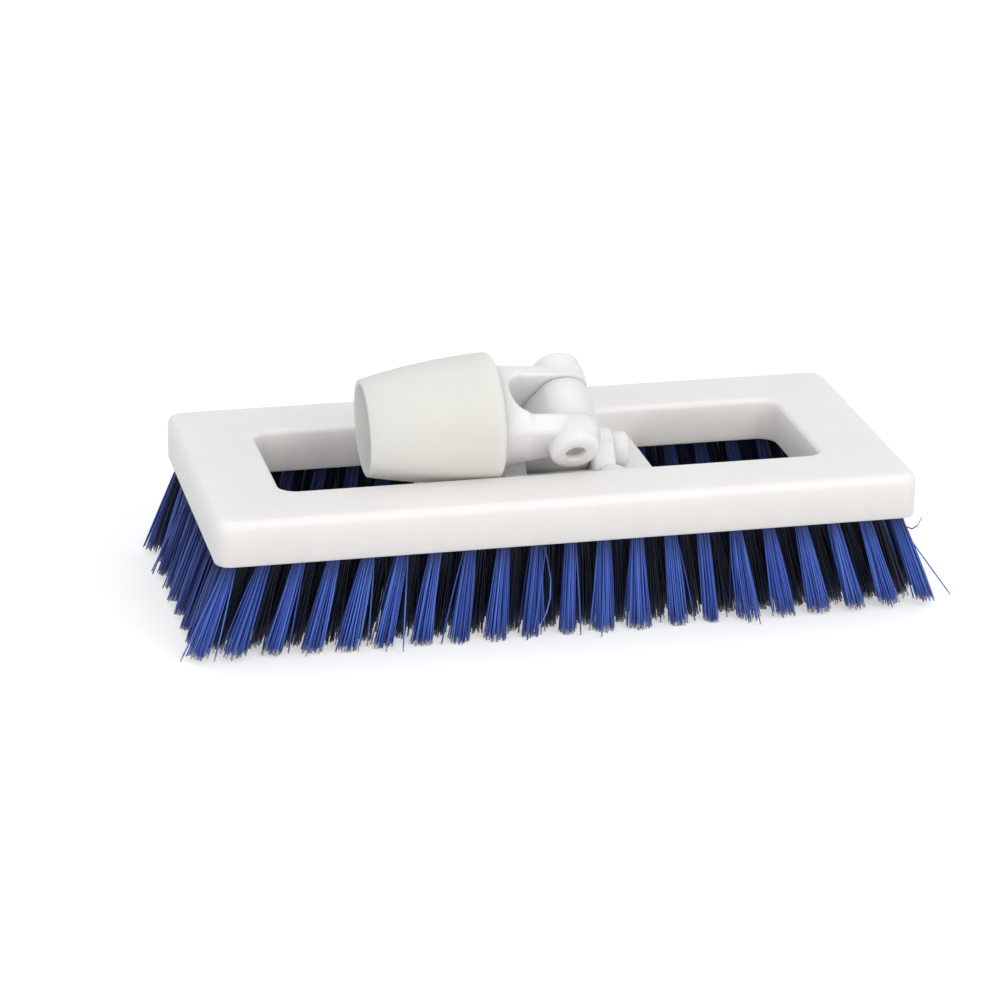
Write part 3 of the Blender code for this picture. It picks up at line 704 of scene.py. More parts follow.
@dataclass
class BrushBlock:
    """The moulded block: an open frame with a low bridge, tuft holes and screw seats."""

    finish: bpy.types.Material
    side_bar: float = 26.0
    end_bar: float = 26.25
    corner: float = 5.5
    top_round: float = 3.0
    low_round: float = 0.6
    opening_corner: float = 6.0
    opening_top_round: float = 2.0
    opening_low_round: float = 0.8
    bridge_half_length: float = 41.8
    bridge_low: float = 0.5
    bridge_top: float = 4.2
    bridge_round: float = 0.8
    bridge_root: float = 1.5
    corner_steps: int = 14
    side_steps: int = 12
    hole_radius: float = 2.45
    hole_flare: float = 0.45
    hole_depth: float = 6.0
    screw_half_length: float = 17.0
    screw_half_width: float = 15.5
    screw_hole_radius: float = 2.0
    screw_seat_radius: float = 3.6
    swivel_shift: float = 6.0
    box: tuple = field(default_factory=lambda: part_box("brush_block"))

    def __post_init__(self) -> None:
        """Reads the block's overall sizes from the CAD node."""
        low, high = (np.array(corner) / MM for corner in self.box)
        self.half_length, self.half_width = high[0], high[1]
        self.underside, self.top = low[2], high[2]

    def frame_rings(self) -> Array:
        """Rings up the outer wall, over the top, down the opening's wall and back underneath."""
        outer = np.array([self.half_length, self.half_width, self.corner])
        inner = np.array([self.half_length - self.end_bar, self.half_width - self.side_bar,
                          self.opening_corner])
        bends = ((outer, -self.low_round, self.underside, self.low_round, 5),
                 (outer, -self.top_round, self.top, -self.top_round, 11),
                 (inner, self.opening_top_round, self.top, -self.opening_top_round, 9),
                 (inner, self.opening_low_round, self.underside, self.opening_low_round, 5))
        rings = []
        for k, (sizes, aside, level, rise, steps) in enumerate(bends):
            for turn in np.radians(np.linspace(0, 90, steps)):
                reach = [1 - math.sin(turn), 1 - math.cos(turn)]
                if k % 2:
                    reach.reverse()
                outline = rounded_rectangle(*(sizes + aside * reach[0]), self.corner_steps,
                                            self.side_steps)
                rings.append(np.column_stack([outline, np.full(len(outline), level + rise * reach[1])]))
        return np.stack(rings)

    def bridge_rings(self) -> Array:
        """A flat bar with rounded edges, drawn through both long bars' walls."""
        half_height = (self.bridge_top - self.bridge_low) / 2
        middle = self.underside + self.bridge_low + half_height
        section = rounded_rectangle(self.bridge_half_length, half_height, self.bridge_round, 6, 8)
        reach = self.half_width - self.side_bar + self.bridge_root
        return np.stack([np.column_stack([section[:, 0], np.full(len(section), y),
                                          section[:, 1] + middle]) for y in (-reach, reach)])

    def drills(self, profile: Array, places: Array, steps: int) -> tuple[Array, list[Array]]:
        """Points in metres and faces of one closed cutter with a turned profile at each place."""
        points, faces = skin(turned(profile, steps))
        moved = (places[:, None, :] + points[None, :, :]).reshape(-1, 3)
        return moved * MM, repeated(faces, len(places), len(points))

    def screw_places(self) -> Array:
        """Where the four screws' heads lie, on the underside of the bridge."""
        return np.array([(self.swivel_shift + sx * self.screw_half_length,
                          sy * self.screw_half_width, self.underside + self.bridge_low)
                         for sx in (-1, 1) for sy in (-1, 1)])

    def build(self, tufts: Array) -> None:
        """Makes the block.

        Args:
            tufts: (n, 2) places of the tufts in millimetres.
        """
        points, faces = skin(self.frame_rings(), closed=True)
        block = make_piece("block_shell", points * MM, faces, self.finish)
        points, faces = skin(self.bridge_rings())
        combine(block, make_piece("bridge", points * MM, faces, self.finish), "UNION")
        flare = self.hole_radius + self.hole_flare
        tuft_hole = np.array([(flare, -1.0), (flare, 0.0), (self.hole_radius, self.hole_flare),
                              (self.hole_radius, self.hole_depth)])
        places = np.column_stack([tufts, np.full(len(tufts), self.underside)])
        combine(block, make_piece("drills", *self.drills(tuft_hole, places, 14)), "DIFFERENCE")
        seat = np.array([(self.screw_seat_radius, -1.0), (self.screw_seat_radius, 0.9),
                         (self.screw_hole_radius, 2.6), (self.screw_hole_radius, 6.0)])
        combine(block, make_piece("seats", *self.drills(seat, self.screw_places(), 32)), "DIFFERENCE")
        smooth(block.data)
        even_shading(block)
        settle(block, Body.BRUSH, Slot.BLOCK, "brush_block")


@dataclass
class BristleField:
    """All the tufts: rows round the block, each tuft a fan of separate filaments."""

    finish: bpy.types.Material
    block: BrushBlock
    row_inset: float = 6.0
    row_pitch: float = 7.5
    side_pitch: float = 11.4
    end_pitch: float = 12.0
    corner_clear: float = 8.5
    length: float = 35.0
    left_splay: float = math.radians(19.0)
    right_splay: float = math.radians(21.0)
    per_tuft: int = 54
    root_radius: float = 1.95
    tip_radius: float = 4.2
    end_tip_radius: float = 2.6
    thickness: float = 0.54
    loose_share: float = 0.05
    loose_reach: float = 0.9
    fan_share: float = 0.86
    fan_spread: float = 0.10
    lean_spread: float = 0.012
    width_spread: float = 0.11
    length_spread: float = 0.28
    bow_spread: float = 0.20
    lowest_tip: float = 0.28
    # Painted shade levels: the middle and inner rings, the left side, a tuft's core and its rear side are
    # darkened in the filament colour.
    ring_painted_shades: tuple = (0.0, 0.84, 0.50)
    left_side_painted_shade: float = 0.36
    core_painted_shade: float = 0.55
    rear_painted_shade: float = 0.75
    rear_shade_start: float = 0.15
    sides: int = 4
    segments: int = 4
    sink: float = 4.0
    seed: int = 7

    def spread(self, length: float, pitch: float) -> Array:
        """Evenly spaced places from end to end, as near to a pitch as the length divides."""
        return np.linspace(-length / 2, length / 2, round(length / pitch) + 1)

    def rows(self) -> dict[str, Array]:
        """The tufts' places in each of the twelve rows, by CAD node name."""
        block = self.block
        side_y = block.half_width - self.row_inset - self.row_pitch * np.arange(3)
        end_x = block.half_length - self.row_inset - self.row_pitch * np.arange(3)
        along = self.spread(2 * (block.half_length - self.row_inset), self.side_pitch)
        across = self.spread(2 * (block.half_width - self.row_inset), self.end_pitch)
        middle = (across[1:] + across[:-1]) / 2
        side_x = [along, (along[1:] + along[:-1]) / 2, along[1:-1]]
        limits = [side_y[0] - self.corner_clear, side_y[2] - self.corner_clear,
                  side_y[2] - self.corner_clear]
        end_y = [y[np.abs(y) <= limit] for y, limit in zip((across, middle, across), limits)]
        found = {}
        for k, ring in enumerate(("outer", "middle", "inner")):
            for side, sign in (("front", -1), ("back", 1)):
                x = side_x[k]
                found[f"{side}_{ring}_row"] = np.column_stack([x, np.full(len(x), sign * side_y[k])])
            for side, sign in (("left", -1), ("right", 1)):
                y = end_y[k]
                found[f"{side}_{ring}_row"] = np.column_stack([np.full(len(y), sign * end_x[k]), y])
        return found

    def centre_lines(self, tufts: Array, tip_radius: float, draw: np.random.Generator) -> Array:
        """Centre lines of the filaments of some tufts.

        A filament's place in its tuft follows a sunflower pattern. It runs straight from the root
        disc to a wider disc at the floor that is tilted by the tuft's lean, with a slight bow.

        Args:
            tufts: (n, 2) places.
            tip_radius: radius of a tuft at the floor.
            draw: source of the small irregularities.

        Returns:
            (n, filaments, points, 3) places in millimetres.
        """
        count, steps = self.per_tuft, self.segments + 1
        turn = np.arange(count) * GOLDEN_TURN
        reach = np.sqrt((np.arange(count) + 0.5) / count)
        disc = np.stack([reach * np.cos(turn), reach * np.sin(turn)], -1)
        spin = draw.uniform(0, 2 * np.pi, len(tufts))[:, None]
        cos, sin = np.cos(spin), np.sin(spin)
        place = np.stack([disc[:, 0] * cos - disc[:, 1] * sin, disc[:, 0] * sin + disc[:, 1] * cos], -1)
        underside = self.block.underside
        root = np.zeros((len(tufts), count, 3))
        root[..., :2] = tufts[:, None, :] + place * self.root_radius
        root[..., 2] = underside
        splay = np.where(tufts[:, 0] < 0, self.left_splay, self.right_splay)
        lean = splay * tufts[:, 0] / (self.block.half_length - self.row_inset)
        lean = lean[:, None] + draw.normal(0, self.lean_spread, lean.shape)[:, None]
        loose = 1 + self.loose_reach * (draw.uniform(0, 1, (*place.shape[:2], 1)) < self.loose_share)
        fan = place * self.fan_share * loose + draw.normal(0, self.fan_spread, place.shape)
        wide = tip_radius * (1 + self.width_spread * draw.normal(0, 1, len(tufts)))[:, None, None]
        length = self.length + draw.normal(0, self.length_spread, (len(tufts), count))
        tip = root.copy()
        tip[..., :2] = tufts[:, None, :] + fan * wide
        tip[..., 0] += length * np.sin(lean)
        tip[..., 2] -= length * np.cos(lean)
        tip[..., 2] = np.maximum(tip[..., 2], self.lowest_tip)
        share = np.linspace(0, 1, steps)[None, None, :, None]
        line = root[:, :, None, :] + (tip - root)[:, :, None, :] * share
        bow = draw.normal(0, self.bow_spread, (len(tufts), count, 1, 2)) * (4 * share * (1 - share))
        line[..., :2] += bow
        start = root - (line[:, :, 1] - root) * (self.sink / (self.length / self.segments))
        start[..., :2] = root[..., :2]
        return np.concatenate([start[:, :, None, :], line], 2)

    def tubes(self, lines: Array, draw: np.random.Generator) -> tuple[Array, list[Array], Array, Array]:
        """Thin prisms round centre lines, each with a tone of its own.

        Args:
            lines: (count, points, 3) centre lines.
            draw: source of the turns and tones.

        Returns:
            Points, faces, and for each point its share of the length and its filament's tone.
        """
        count, steps, _ = lines.shape
        run = lines[:, -1] - lines[:, 1]
        run /= np.linalg.norm(run, axis=-1, keepdims=True)
        first = np.cross(run, [0.0, 1.0, 0.0])
        first /= np.linalg.norm(first, axis=-1, keepdims=True)
        second = np.cross(run, first)
        spin = draw.uniform(0, 2 * np.pi, (count, 1)) + np.linspace(0, 2 * np.pi, self.sides, False)
        radius = self.thickness / 2
        offset = radius * (np.cos(spin)[..., None] * first[:, None]
                           + np.sin(spin)[..., None] * second[:, None])
        points = lines[:, :, None, :] + offset[:, None, :, :]
        faces = repeated(skin(points[0])[1], count, steps * self.sides)
        along = np.concatenate([[0.0], np.linspace(0, 1, steps - 1)])
        along = np.broadcast_to(along[None, :, None], points.shape[:3])
        tone = np.broadcast_to(draw.uniform(0, 1, (count, 1, 1)), points.shape[:3])
        return points.reshape(-1, 3), faces, along.ravel(), tone.ravel()

    def painted_shades(self, name: str, tufts: Array, lines: Array) -> Array:
        """How much painted shade each filament gets: 0 outside in full light, 1 as if hidden among the
        others in shadow.

        Args:
            name: the row's CAD node, which says its side and ring.
            tufts: (n, 2) places of the row's tufts.
            lines: (filaments, points, 3) centre lines, tuft by tuft, with any strays last.

        Returns:
            One painted shade level for each centre line.
        """
        side, ring = name.split("_")[:2]
        inward = {"left": (1, 0), "right": (-1, 0), "front": (0, 1), "back": (0, -1)}[side]
        count = len(tufts) * self.per_tuft
        place = (lines[:count, 1, :2] - np.repeat(tufts, self.per_tuft, 0)) / self.root_radius
        core = 1 - np.linalg.norm(place, axis=1)
        away = place @ np.array(inward) * (-1 if ring == "inner" else 1)
        # Painted shade on the side of each tuft that faces into the brush; for the inner ring, on its outer
        # side.
        rear_shade = np.clip(away + self.rear_shade_start, 0, 1)
        level = self.ring_painted_shades[["outer", "middle", "inner"].index(ring)]
        # Painted shade on the whole left side, which faces away from the main lamp.
        level += self.left_side_painted_shade * (side == "left")
        depth = np.zeros(len(lines))
        held = self.core_painted_shade * np.clip(core, 0, 1) + self.rear_painted_shade * rear_shade
        depth[:count] = np.clip(level + held, 0, 1)
        return depth

    def strays(self) -> Array:
        """Filaments that have sprung out of their tufts, as (count, points, 3) curved lines."""
        ends = [((112, -47), (124, -48.5, 20.0), (138.8, -43.2, 0.6)),
                ((114, -46), (121.5, -47.5, 22.0), (124.0, -49.4, 33.1)),
                ((-8.5, -50), (-11.2, -53.0, 20.0), (-13.5, -54.5, 4.0)),
                ((-11.0, -50), (-4.0, -54.0, 16.0), (-12.0, -55.0, 6.0)),
                ((-56, -50), (-57.5, -53.0, 18.0), (-58.5, -55.0, 0.8)),
                ((-114, 20), (-124.5, 21, 19.0), (-131.0, 22.5, 3.5)),
                ((57, 49), (60, 53, 18.0), (62.0, 56.5, 2.0)),
                ((-80, 49), (-86, 53, 19.0), (-88.0, 55.5, 5.0))]
        share = np.linspace(0, 1, self.segments + 2)[:, None]
        lines = []
        for root, middle, tip in ends:
            start = np.array([*root, self.block.underside + 2.0])
            bend, end = np.array(middle), np.array(tip)
            lines.append(start * (1 - share) ** 2 + 2 * bend * share * (1 - share) + end * share ** 2)
        return np.stack(lines)

    def build(self) -> None:
        """Makes one piece for each row, with the stray filaments on the front outer row."""
        for k, (name, tufts) in enumerate(self.rows().items()):
            draw = np.random.default_rng(self.seed + k)
            at_end = name.startswith(("left", "right"))
            lines = self.centre_lines(tufts, self.end_tip_radius if at_end else self.tip_radius, draw)
            lines = lines.reshape(-1, *lines.shape[2:])
            if name == "front_outer_row":
                lines = np.concatenate([lines, self.strays()])
            points, faces, along, tone = self.tubes(lines, draw)
            piece = make_piece(f"{name}_tufts", points * MM, faces, self.finish)
            piece.data.set_sharp_from_angle(angle=math.pi)
            # The depth attribute carries each filament's painted shade into the material.
            depth = np.repeat(self.painted_shades(name, tufts, lines), len(points) // len(lines))
            for key, values in (("along", along), ("tone", tone), ("depth", depth)):
                attribute = piece.data.attributes.new(key, "FLOAT", "POINT")
                attribute.data.foreach_set("value", values.astype(np.float32))
            settle(piece, Body.BRUSH, Slot.BRISTLE, name)


@dataclass
class SwivelBase:
    """The natural nylon bracket on the bridge, with its pin, ring and screws."""

    finish: bpy.types.Material
    pin_finish: bpy.types.Material
    steel: bpy.types.Material
    swivel: Swivel
    block: BrushBlock
    plate_half_length: float = 26.0
    plate_half_width: float = 20.0
    plate_corner: float = 5.0
    plate_low: float = -6.5
    plate_top: float = -3.5
    ear_inner: float = 11.8
    ear_outer: float = 20.2
    ear_radius: float = 8.0
    foot_half: float = 11.0
    notch_half: float = 7.2
    window_half_length: float = 12.0
    window_half_width: float = 7.8
    boss_radius: float = 4.2
    boss_top: float = -0.5
    bore_radius: float = 3.5
    ring_seat_radius: float = 5.5
    ring_seat_depth: float = 1.7
    pin_radius: float = 3.2
    head_radius: float = 6.3
    head_start: float = 20.5
    head_end: float = 26.3
    head_round: float = 1.6
    pin_edge: float = 0.5
    ring_thickness: float = 1.1
    ring_edge: float = 0.25
    gap: float = 0.3
    screw_top: float = -1.6
    foot_sink: float = 0.8
    plate_edge: float = 0.7
    notch_edge: float = 0.8
    window_edge: float = 0.5
    ear_edge: float = 0.9
    ear_fillet: float = 1.1
    boss_edge: float = 0.8
    boss_fillet: float = 0.8
    bore_edge: float = 0.35
    seat_edge: float = 0.2
    net_pitch: float = 0.42

    def ear(self, y: Array, z: Array) -> Array:
        """Distance in the plane of an ear: a round top with straight flanks to a wider foot."""
        across = np.abs(y)
        flank, head = flanked(across, z, self.ear_radius, self.foot_half, -self.plate_top)
        return np.where(head, length2(across, z) - self.ear_radius, flank)

    def shape(self, x: Array, y: Array, z: Array) -> Array:
        """Distance to the bracket: plate, window, notches, two ears, four bosses and the bores."""
        ax, ay = np.abs(x), np.abs(y)
        qx = ax - self.plate_half_length + self.plate_corner
        qy = ay - self.plate_half_width + self.plate_corner
        outline = length2(np.maximum(qx, 0), np.maximum(qy, 0)) - self.plate_corner
        outline = outline + np.minimum(np.maximum(qx, qy), 0)
        middle, half = (self.plate_top + self.plate_low) / 2, (self.plate_top - self.plate_low) / 2
        plate = meet(outline, np.abs(z - middle) - half, self.plate_edge)
        notch = np.maximum(self.ear_outer - ax, ay - self.notch_half)
        plate = remove(plate, notch, self.notch_edge)
        window = np.maximum(ax - self.window_half_length, ay - self.window_half_width)
        plate = remove(plate, window, self.window_edge)
        middle, half = (self.ear_outer + self.ear_inner) / 2, (self.ear_outer - self.ear_inner) / 2
        foot = self.plate_low + self.foot_sink - z
        ears = meet(self.ear(y, z), np.abs(ax - middle) - half, self.ear_edge)
        ears = np.maximum(ears, foot)
        bosses = length2(ax - self.block.screw_half_length, ay - self.block.screw_half_width)
        bosses = meet(bosses - self.boss_radius, z - self.boss_top, self.boss_edge)
        bosses = np.maximum(bosses, foot)
        body = join(join(plate, ears, self.ear_fillet), bosses, self.boss_fillet)
        bore = length2(y, z)
        body = remove(body, bore - self.bore_radius, self.bore_edge)
        seat = np.maximum(bore - self.ring_seat_radius, x + self.ear_outer - self.ring_seat_depth)
        return remove(body, seat, self.seat_edge)

    def build_bracket(self) -> None:
        """Makes the bracket."""
        reach = (self.plate_half_length + 1, self.plate_half_width + 1)
        points, quads = net_surface(self.shape, (-reach[0], -reach[1], self.plate_low - 1),
                                    (reach[0], reach[1], self.ear_radius + 1), self.net_pitch)
        add_piece("base_bracket", self.swivel.base.to_frame(points), [quads], self.finish,
                  Body.BRUSH, Slot.BASE, "swivel_base")

    def along_axis(self, profile: Array, steps: int) -> Array:
        """Rings of a turned shape whose heights run along the roll axis."""
        rings = turned(profile, steps)
        return np.stack([rings[..., 2], rings[..., 0], rings[..., 1]], -1)

    def build_pin(self) -> None:
        """Makes the roll pin with its domed head, and its ring."""
        edge, low = self.pin_edge, -self.ear_outer + self.gap
        dome = self.head_end - self.head_round
        profile = np.concatenate([
            arc((self.pin_radius - edge, low + edge), edge, -90, 0, 4),
            [(self.pin_radius, self.head_start), (self.head_radius - edge, self.head_start)],
            arc((self.head_radius - edge, self.head_start + edge), edge, -90, 0, 4),
            arc((self.head_radius - self.head_round, dome), self.head_round, 0, 90, 8)])
        points, faces = skin(self.along_axis(profile, 64))
        add_piece("roll_pin_body", self.swivel.base.to_frame(points), faces, self.pin_finish,
                  Body.BRUSH, Slot.JOINT, "roll_pin")
        edge, high, outer = self.ring_edge, low + self.ring_thickness, self.ring_seat_radius - self.gap
        section = np.concatenate([
            arc((outer - edge, low + edge), edge, -90, 0, 3),
            arc((outer - edge, high - edge), edge, 0, 90, 3),
            [(self.bore_radius, high), (self.bore_radius, low)]])
        points, faces = skin(self.along_axis(section, 64), closed=True)
        add_piece("pin_ring", self.swivel.base.to_frame(points), faces, self.steel,
                  Body.BRUSH, Slot.STEEL, "roll_pin_ring")

    def screw_rings(self) -> Array:
        """A screw pointing up: a head face with a cross recess, a cone, and a shank with a thread."""
        shank, head, sunk = 1.7, 3.3, 0.2
        reach = np.linspace(0.02, 1.0, 15)
        turn = np.linspace(0, 2 * np.pi, 48, endpoint=False)
        x = head * reach[:, None] * np.cos(turn)
        y = head * reach[:, None] * np.sin(turn)
        slim = np.minimum(np.abs(x), np.abs(y))
        far = np.maximum(np.abs(x), np.abs(y))
        cross = (1 - smooth_rise(slim, 0.35, 0.6)) * (1 - smooth_rise(far, 1.5, 2.0))
        face = np.stack([x, y, sunk + 1.1 * cross], -1)
        top = self.screw_top - self.plate_low + self.block.bridge_top - self.block.bridge_low
        top += self.gap
        heights = np.linspace(sunk + 2.2, top - 1.0, 40)
        thread = shank + 0.18 * np.cos(heights[:, None] * 2 * np.pi / 0.9 + turn)
        ring = np.stack([thread * np.cos(turn), thread * np.sin(turn),
                         np.broadcast_to(heights[:, None], thread.shape)], -1)
        edges = turned(np.array([(head, sunk + 0.4), (shank, sunk + 2.1)]), 48)
        point = turned(np.array([(shank * 0.5, top)]), 48)
        return np.concatenate([face, edges, ring, point])

    def build_screws(self) -> None:
        """Makes the four screws."""
        for k, place in enumerate(self.block.screw_places()):
            points, faces = skin(self.screw_rings() + place)
            add_piece(f"screw_{k + 1}", points * MM, faces, self.steel,
                      Body.BRUSH, Slot.STEEL, f"base_screw_{k + 1}")

    def build(self) -> None:
        """Makes the bracket and what it holds."""
        self.build_bracket()
        self.build_pin()
        self.build_screws()


@dataclass
class Knuckle:
    """The cross piece between the two pins."""

    finish: bpy.types.Material
    swivel: Swivel
    half_length: float = 11.5
    low_radius: float = 6.2
    top_radius: float = 8.6
    half_width: float = 7.7
    bore_radius: float = 3.5
    shoulder: float = 8.5
    waist: float = 12.5
    wide_half: float = 12.8
    wide_drop: float = 6.4
    side_gap: float = 0.2
    barrel_edge: float = 0.8
    widening: tuple = (4.0, 17.0)
    shoulder_edge: float = 1.6
    stem_edge: float = 0.9
    stem_fillet: float = 0.6
    bore_edge: float = 0.3
    net_reach: tuple = (13.9, 8.8, 7.4)
    net_pitch: float = 0.36

    def outline(self, x: Array, z: Array) -> Array:
        """Distance from the side: a round head with straight flanks to wide shoulders, then a taper."""
        across, up = np.abs(x), z - self.swivel.spacing
        flank, head = flanked(across, up, self.top_radius, self.wide_half, self.wide_drop)
        low = self.half_length - self.side_gap
        side = across - low - (self.wide_half - low) * smooth_rise(z, self.shoulder - 1, self.waist)
        sides = meet(flank, side, self.shoulder_edge)
        return np.where(head, length2(across, up) - self.top_radius, sides)

    def shape(self, x: Array, y: Array, z: Array) -> Array:
        """Distance to the knuckle: a barrel across, and a shouldered body that fills the yoke's slot."""
        top = self.swivel.spacing
        barrel = meet(length2(y, z) - self.low_radius, np.abs(x) - self.half_length, self.barrel_edge)
        half_y = self.low_radius + (self.half_width - self.low_radius) * smooth_rise(z, *self.widening)
        stem = np.maximum(meet(self.outline(x, z), np.abs(y) - half_y, self.stem_edge), -z)
        body = join(stem, barrel, self.stem_fillet)
        body = remove(body, length2(y, z) - self.bore_radius, self.bore_edge)
        return remove(body, length2(x, z - top) - self.bore_radius, self.bore_edge)

    def build(self) -> None:
        """Makes the knuckle."""
        top = self.swivel.spacing + self.top_radius + 1
        x, y, low = self.net_reach
        points, quads = net_surface(self.shape, (-x, -y, -low), (x, y, top), self.net_pitch)
        add_piece("knuckle_body", self.swivel.knuckle.to_frame(points), [quads], self.finish,
                  Body.KNUCKLE, Slot.JOINT, "knuckle")


@dataclass
class Yoke:
    """The clevis that flares into the socket, its hidden stem, and the pin through its bosses."""

    finish: bpy.types.Material
    steel: bpy.types.Material
    swivel: Swivel
    end_radius: float = 9.3
    spread: float = math.radians(6.8)
    arm_half_width: float = 14.3
    edge_half_depth: float = 6.6
    root: float = 22.0
    root_crown: float = 12.8
    root_edge: float = 9.2
    boss_radius: float = 8.6
    boss_face: float = 18.8
    boss_round: float = 1.9
    slot_half: float = 8.0
    slot_depth: float = 21.0
    flare_start: float = 16.0
    flare_low: float = 14.0
    collar_end: float = 24.1
    collar_radius: float = 17.8
    stem_radius: float = 13.7
    stem_end: float = 42.1
    core_radius: float = 10.5
    core_floor: float = 27.1
    pin_hole: float = 3.5
    pin_radius: float = 3.2
    pin_setback: float = 2.0
    pin_edge: float = 0.5
    crown_edge: float = 0.5
    arm_edge: float = 0.8
    boss_fillet: float = 0.8
    flare_edge: float = 0.4
    flare_fillet: float = 2.6
    flare_power: float = 1.8
    slot_edge: float = 0.9
    bore_edge: float = 0.4
    core_edge: float = 0.5
    net_pitch: float = 0.40

    def arms(self, x: Array, y: Array, z: Array) -> Array:
        """Distance to both arms: round about the pin, spreading, with tops that slope to the cheeks."""
        ax, ay = np.abs(x), np.abs(y)
        cos, sin = math.cos(self.spread), math.sin(self.spread)
        plan = np.where(ax * sin + z * cos < 0, length2(x, z), ax * cos - z * sin) - self.end_radius
        share = np.clip(z / self.root, 0, 1)
        crown = self.end_radius + (self.root_crown - self.end_radius) * share
        edge = self.edge_half_depth + (self.root_edge - self.edge_half_depth) * share
        steep = (crown - edge) / (self.arm_half_width - self.slot_half)
        slope = (ax - crown + steep * (ay - self.slot_half)) / np.sqrt(1 + steep * steep)
        arms = meet(meet(plan, slope, self.crown_edge), ay - self.arm_half_width, self.arm_edge)
        return np.maximum(arms, z - self.root - 0.5)

    def shape(self, x: Array, y: Array, z: Array) -> Array:
        """Distance to the yoke: arms, bosses, flare, stem, slot and bores."""
        bosses = meet(length2(x, z) - self.boss_radius, np.abs(y) - self.boss_face, self.boss_round)
        body = join(self.arms(x, y, z), bosses, self.boss_fillet)
        around = length2(x, y)
        share = np.clip((z - self.flare_start) / (self.collar_end - self.flare_start), 0, 1)
        swell = (self.collar_radius - self.flare_low) * share ** self.flare_power
        flare = (around - self.flare_low - swell) * 0.85
        flare = np.maximum(meet(flare, z - self.collar_end, self.flare_edge), self.flare_start - z)
        body = join(body, flare, self.flare_fillet)
        body = np.maximum(body, z - self.collar_end)
        slot = length2(y, np.maximum(z - (self.slot_depth - self.slot_half), 0)) - self.slot_half
        body = remove(body, slot, self.slot_edge)
        bore = length2(x, z) - self.pin_hole
        body = remove(body, bore, self.bore_edge)
        stem = np.maximum(around - self.stem_radius, np.maximum(self.collar_end - 1 - z, z - self.stem_end))
        body = np.minimum(body, stem)
        core = np.maximum(around - self.core_radius, self.core_floor - z)
        return remove(body, core, self.core_edge)

    def build_body(self) -> None:
        """Makes the yoke."""
        side, reach = self.collar_radius + 1, self.boss_face + 1
        points, quads = net_surface(self.shape, (-side, -reach, -self.end_radius - 1),
                                    (side, reach, self.stem_end + 1), self.net_pitch)
        add_piece("yoke_body", self.swivel.yoke.to_frame(points), [quads], self.finish,
                  Body.SOCKET, Slot.JOINT, "yoke")

    def build_pin(self) -> None:
        """Makes the pin with rounded ends."""
        half, edge = self.boss_face - self.pin_setback, self.pin_edge
        profile = np.concatenate([
            arc((self.pin_radius - edge, -half + edge), edge, -90, 0, 4),
            arc((self.pin_radius - edge, half - edge), edge, 0, 90, 4)])
        rings = turned(profile, 48)
        rings = np.stack([rings[..., 1], rings[..., 2], rings[..., 0]], -1)
        points, faces = skin(rings)
        add_piece("yoke_pin_body", self.swivel.yoke.to_frame(points), faces, self.steel,
                  Body.SOCKET, Slot.STEEL, "yoke_pin")

    def build(self) -> None:
        """Makes the yoke and its pin."""
        self.build_body()
        self.build_pin()


@dataclass
class HandleSocket:
    """The conical sleeve that takes the handle."""

    finish: bpy.types.Material
    swivel: Swivel
    start: float = 24.4
    end: float = 70.0
    big_radius: float = 22.0
    mouth_radius: float = 16.6
    swell: float = 1.1
    big_round: float = 2.8
    rim_round: float = 0.4
    bore_mouth: float = 14.9
    bore_floor: float = 14.3
    floor: float = 42.4
    stem_bore: float = 14.0
    steps: int = 128

    def profile(self) -> Array:
        """Round the section: wide end, swelling outer wall, rim, tapering bore and stem bore."""
        low, high = self.start + self.big_round, self.end - self.rim_round
        share = np.linspace(0, 1, 41)
        radius = self.big_radius + (self.mouth_radius - self.big_radius) * share
        radius = radius + self.swell * 4 * share * (1 - share)
        outer = np.column_stack([radius, low + (high - low) * share])
        return np.concatenate([
            arc((self.big_radius - self.big_round, low), self.big_round, -90, 0, 10)[:-1], outer,
            arc((self.mouth_radius - self.rim_round, high), self.rim_round, 0, 90, 4)[1:],
            arc((self.bore_mouth + self.rim_round, high), self.rim_round, 90, 180, 4),
            [(self.bore_floor, self.floor + 0.8), (self.stem_bore, self.floor),
             (self.stem_bore, self.start)]])

    def build(self) -> None:
        """Makes the sleeve."""
        points, faces = skin(turned(self.profile(), self.steps), closed=True)
        add_piece("sleeve_shell", self.swivel.yoke.to_frame(points), faces, self.finish,
                  Body.SOCKET, Slot.SOCKET, "socket_sleeve")


@dataclass(frozen=True)
class Lamp:
    """A square soft lamp, with its size in metres and its power in watts."""

    name: str
    place: tuple
    size: float
    power: float


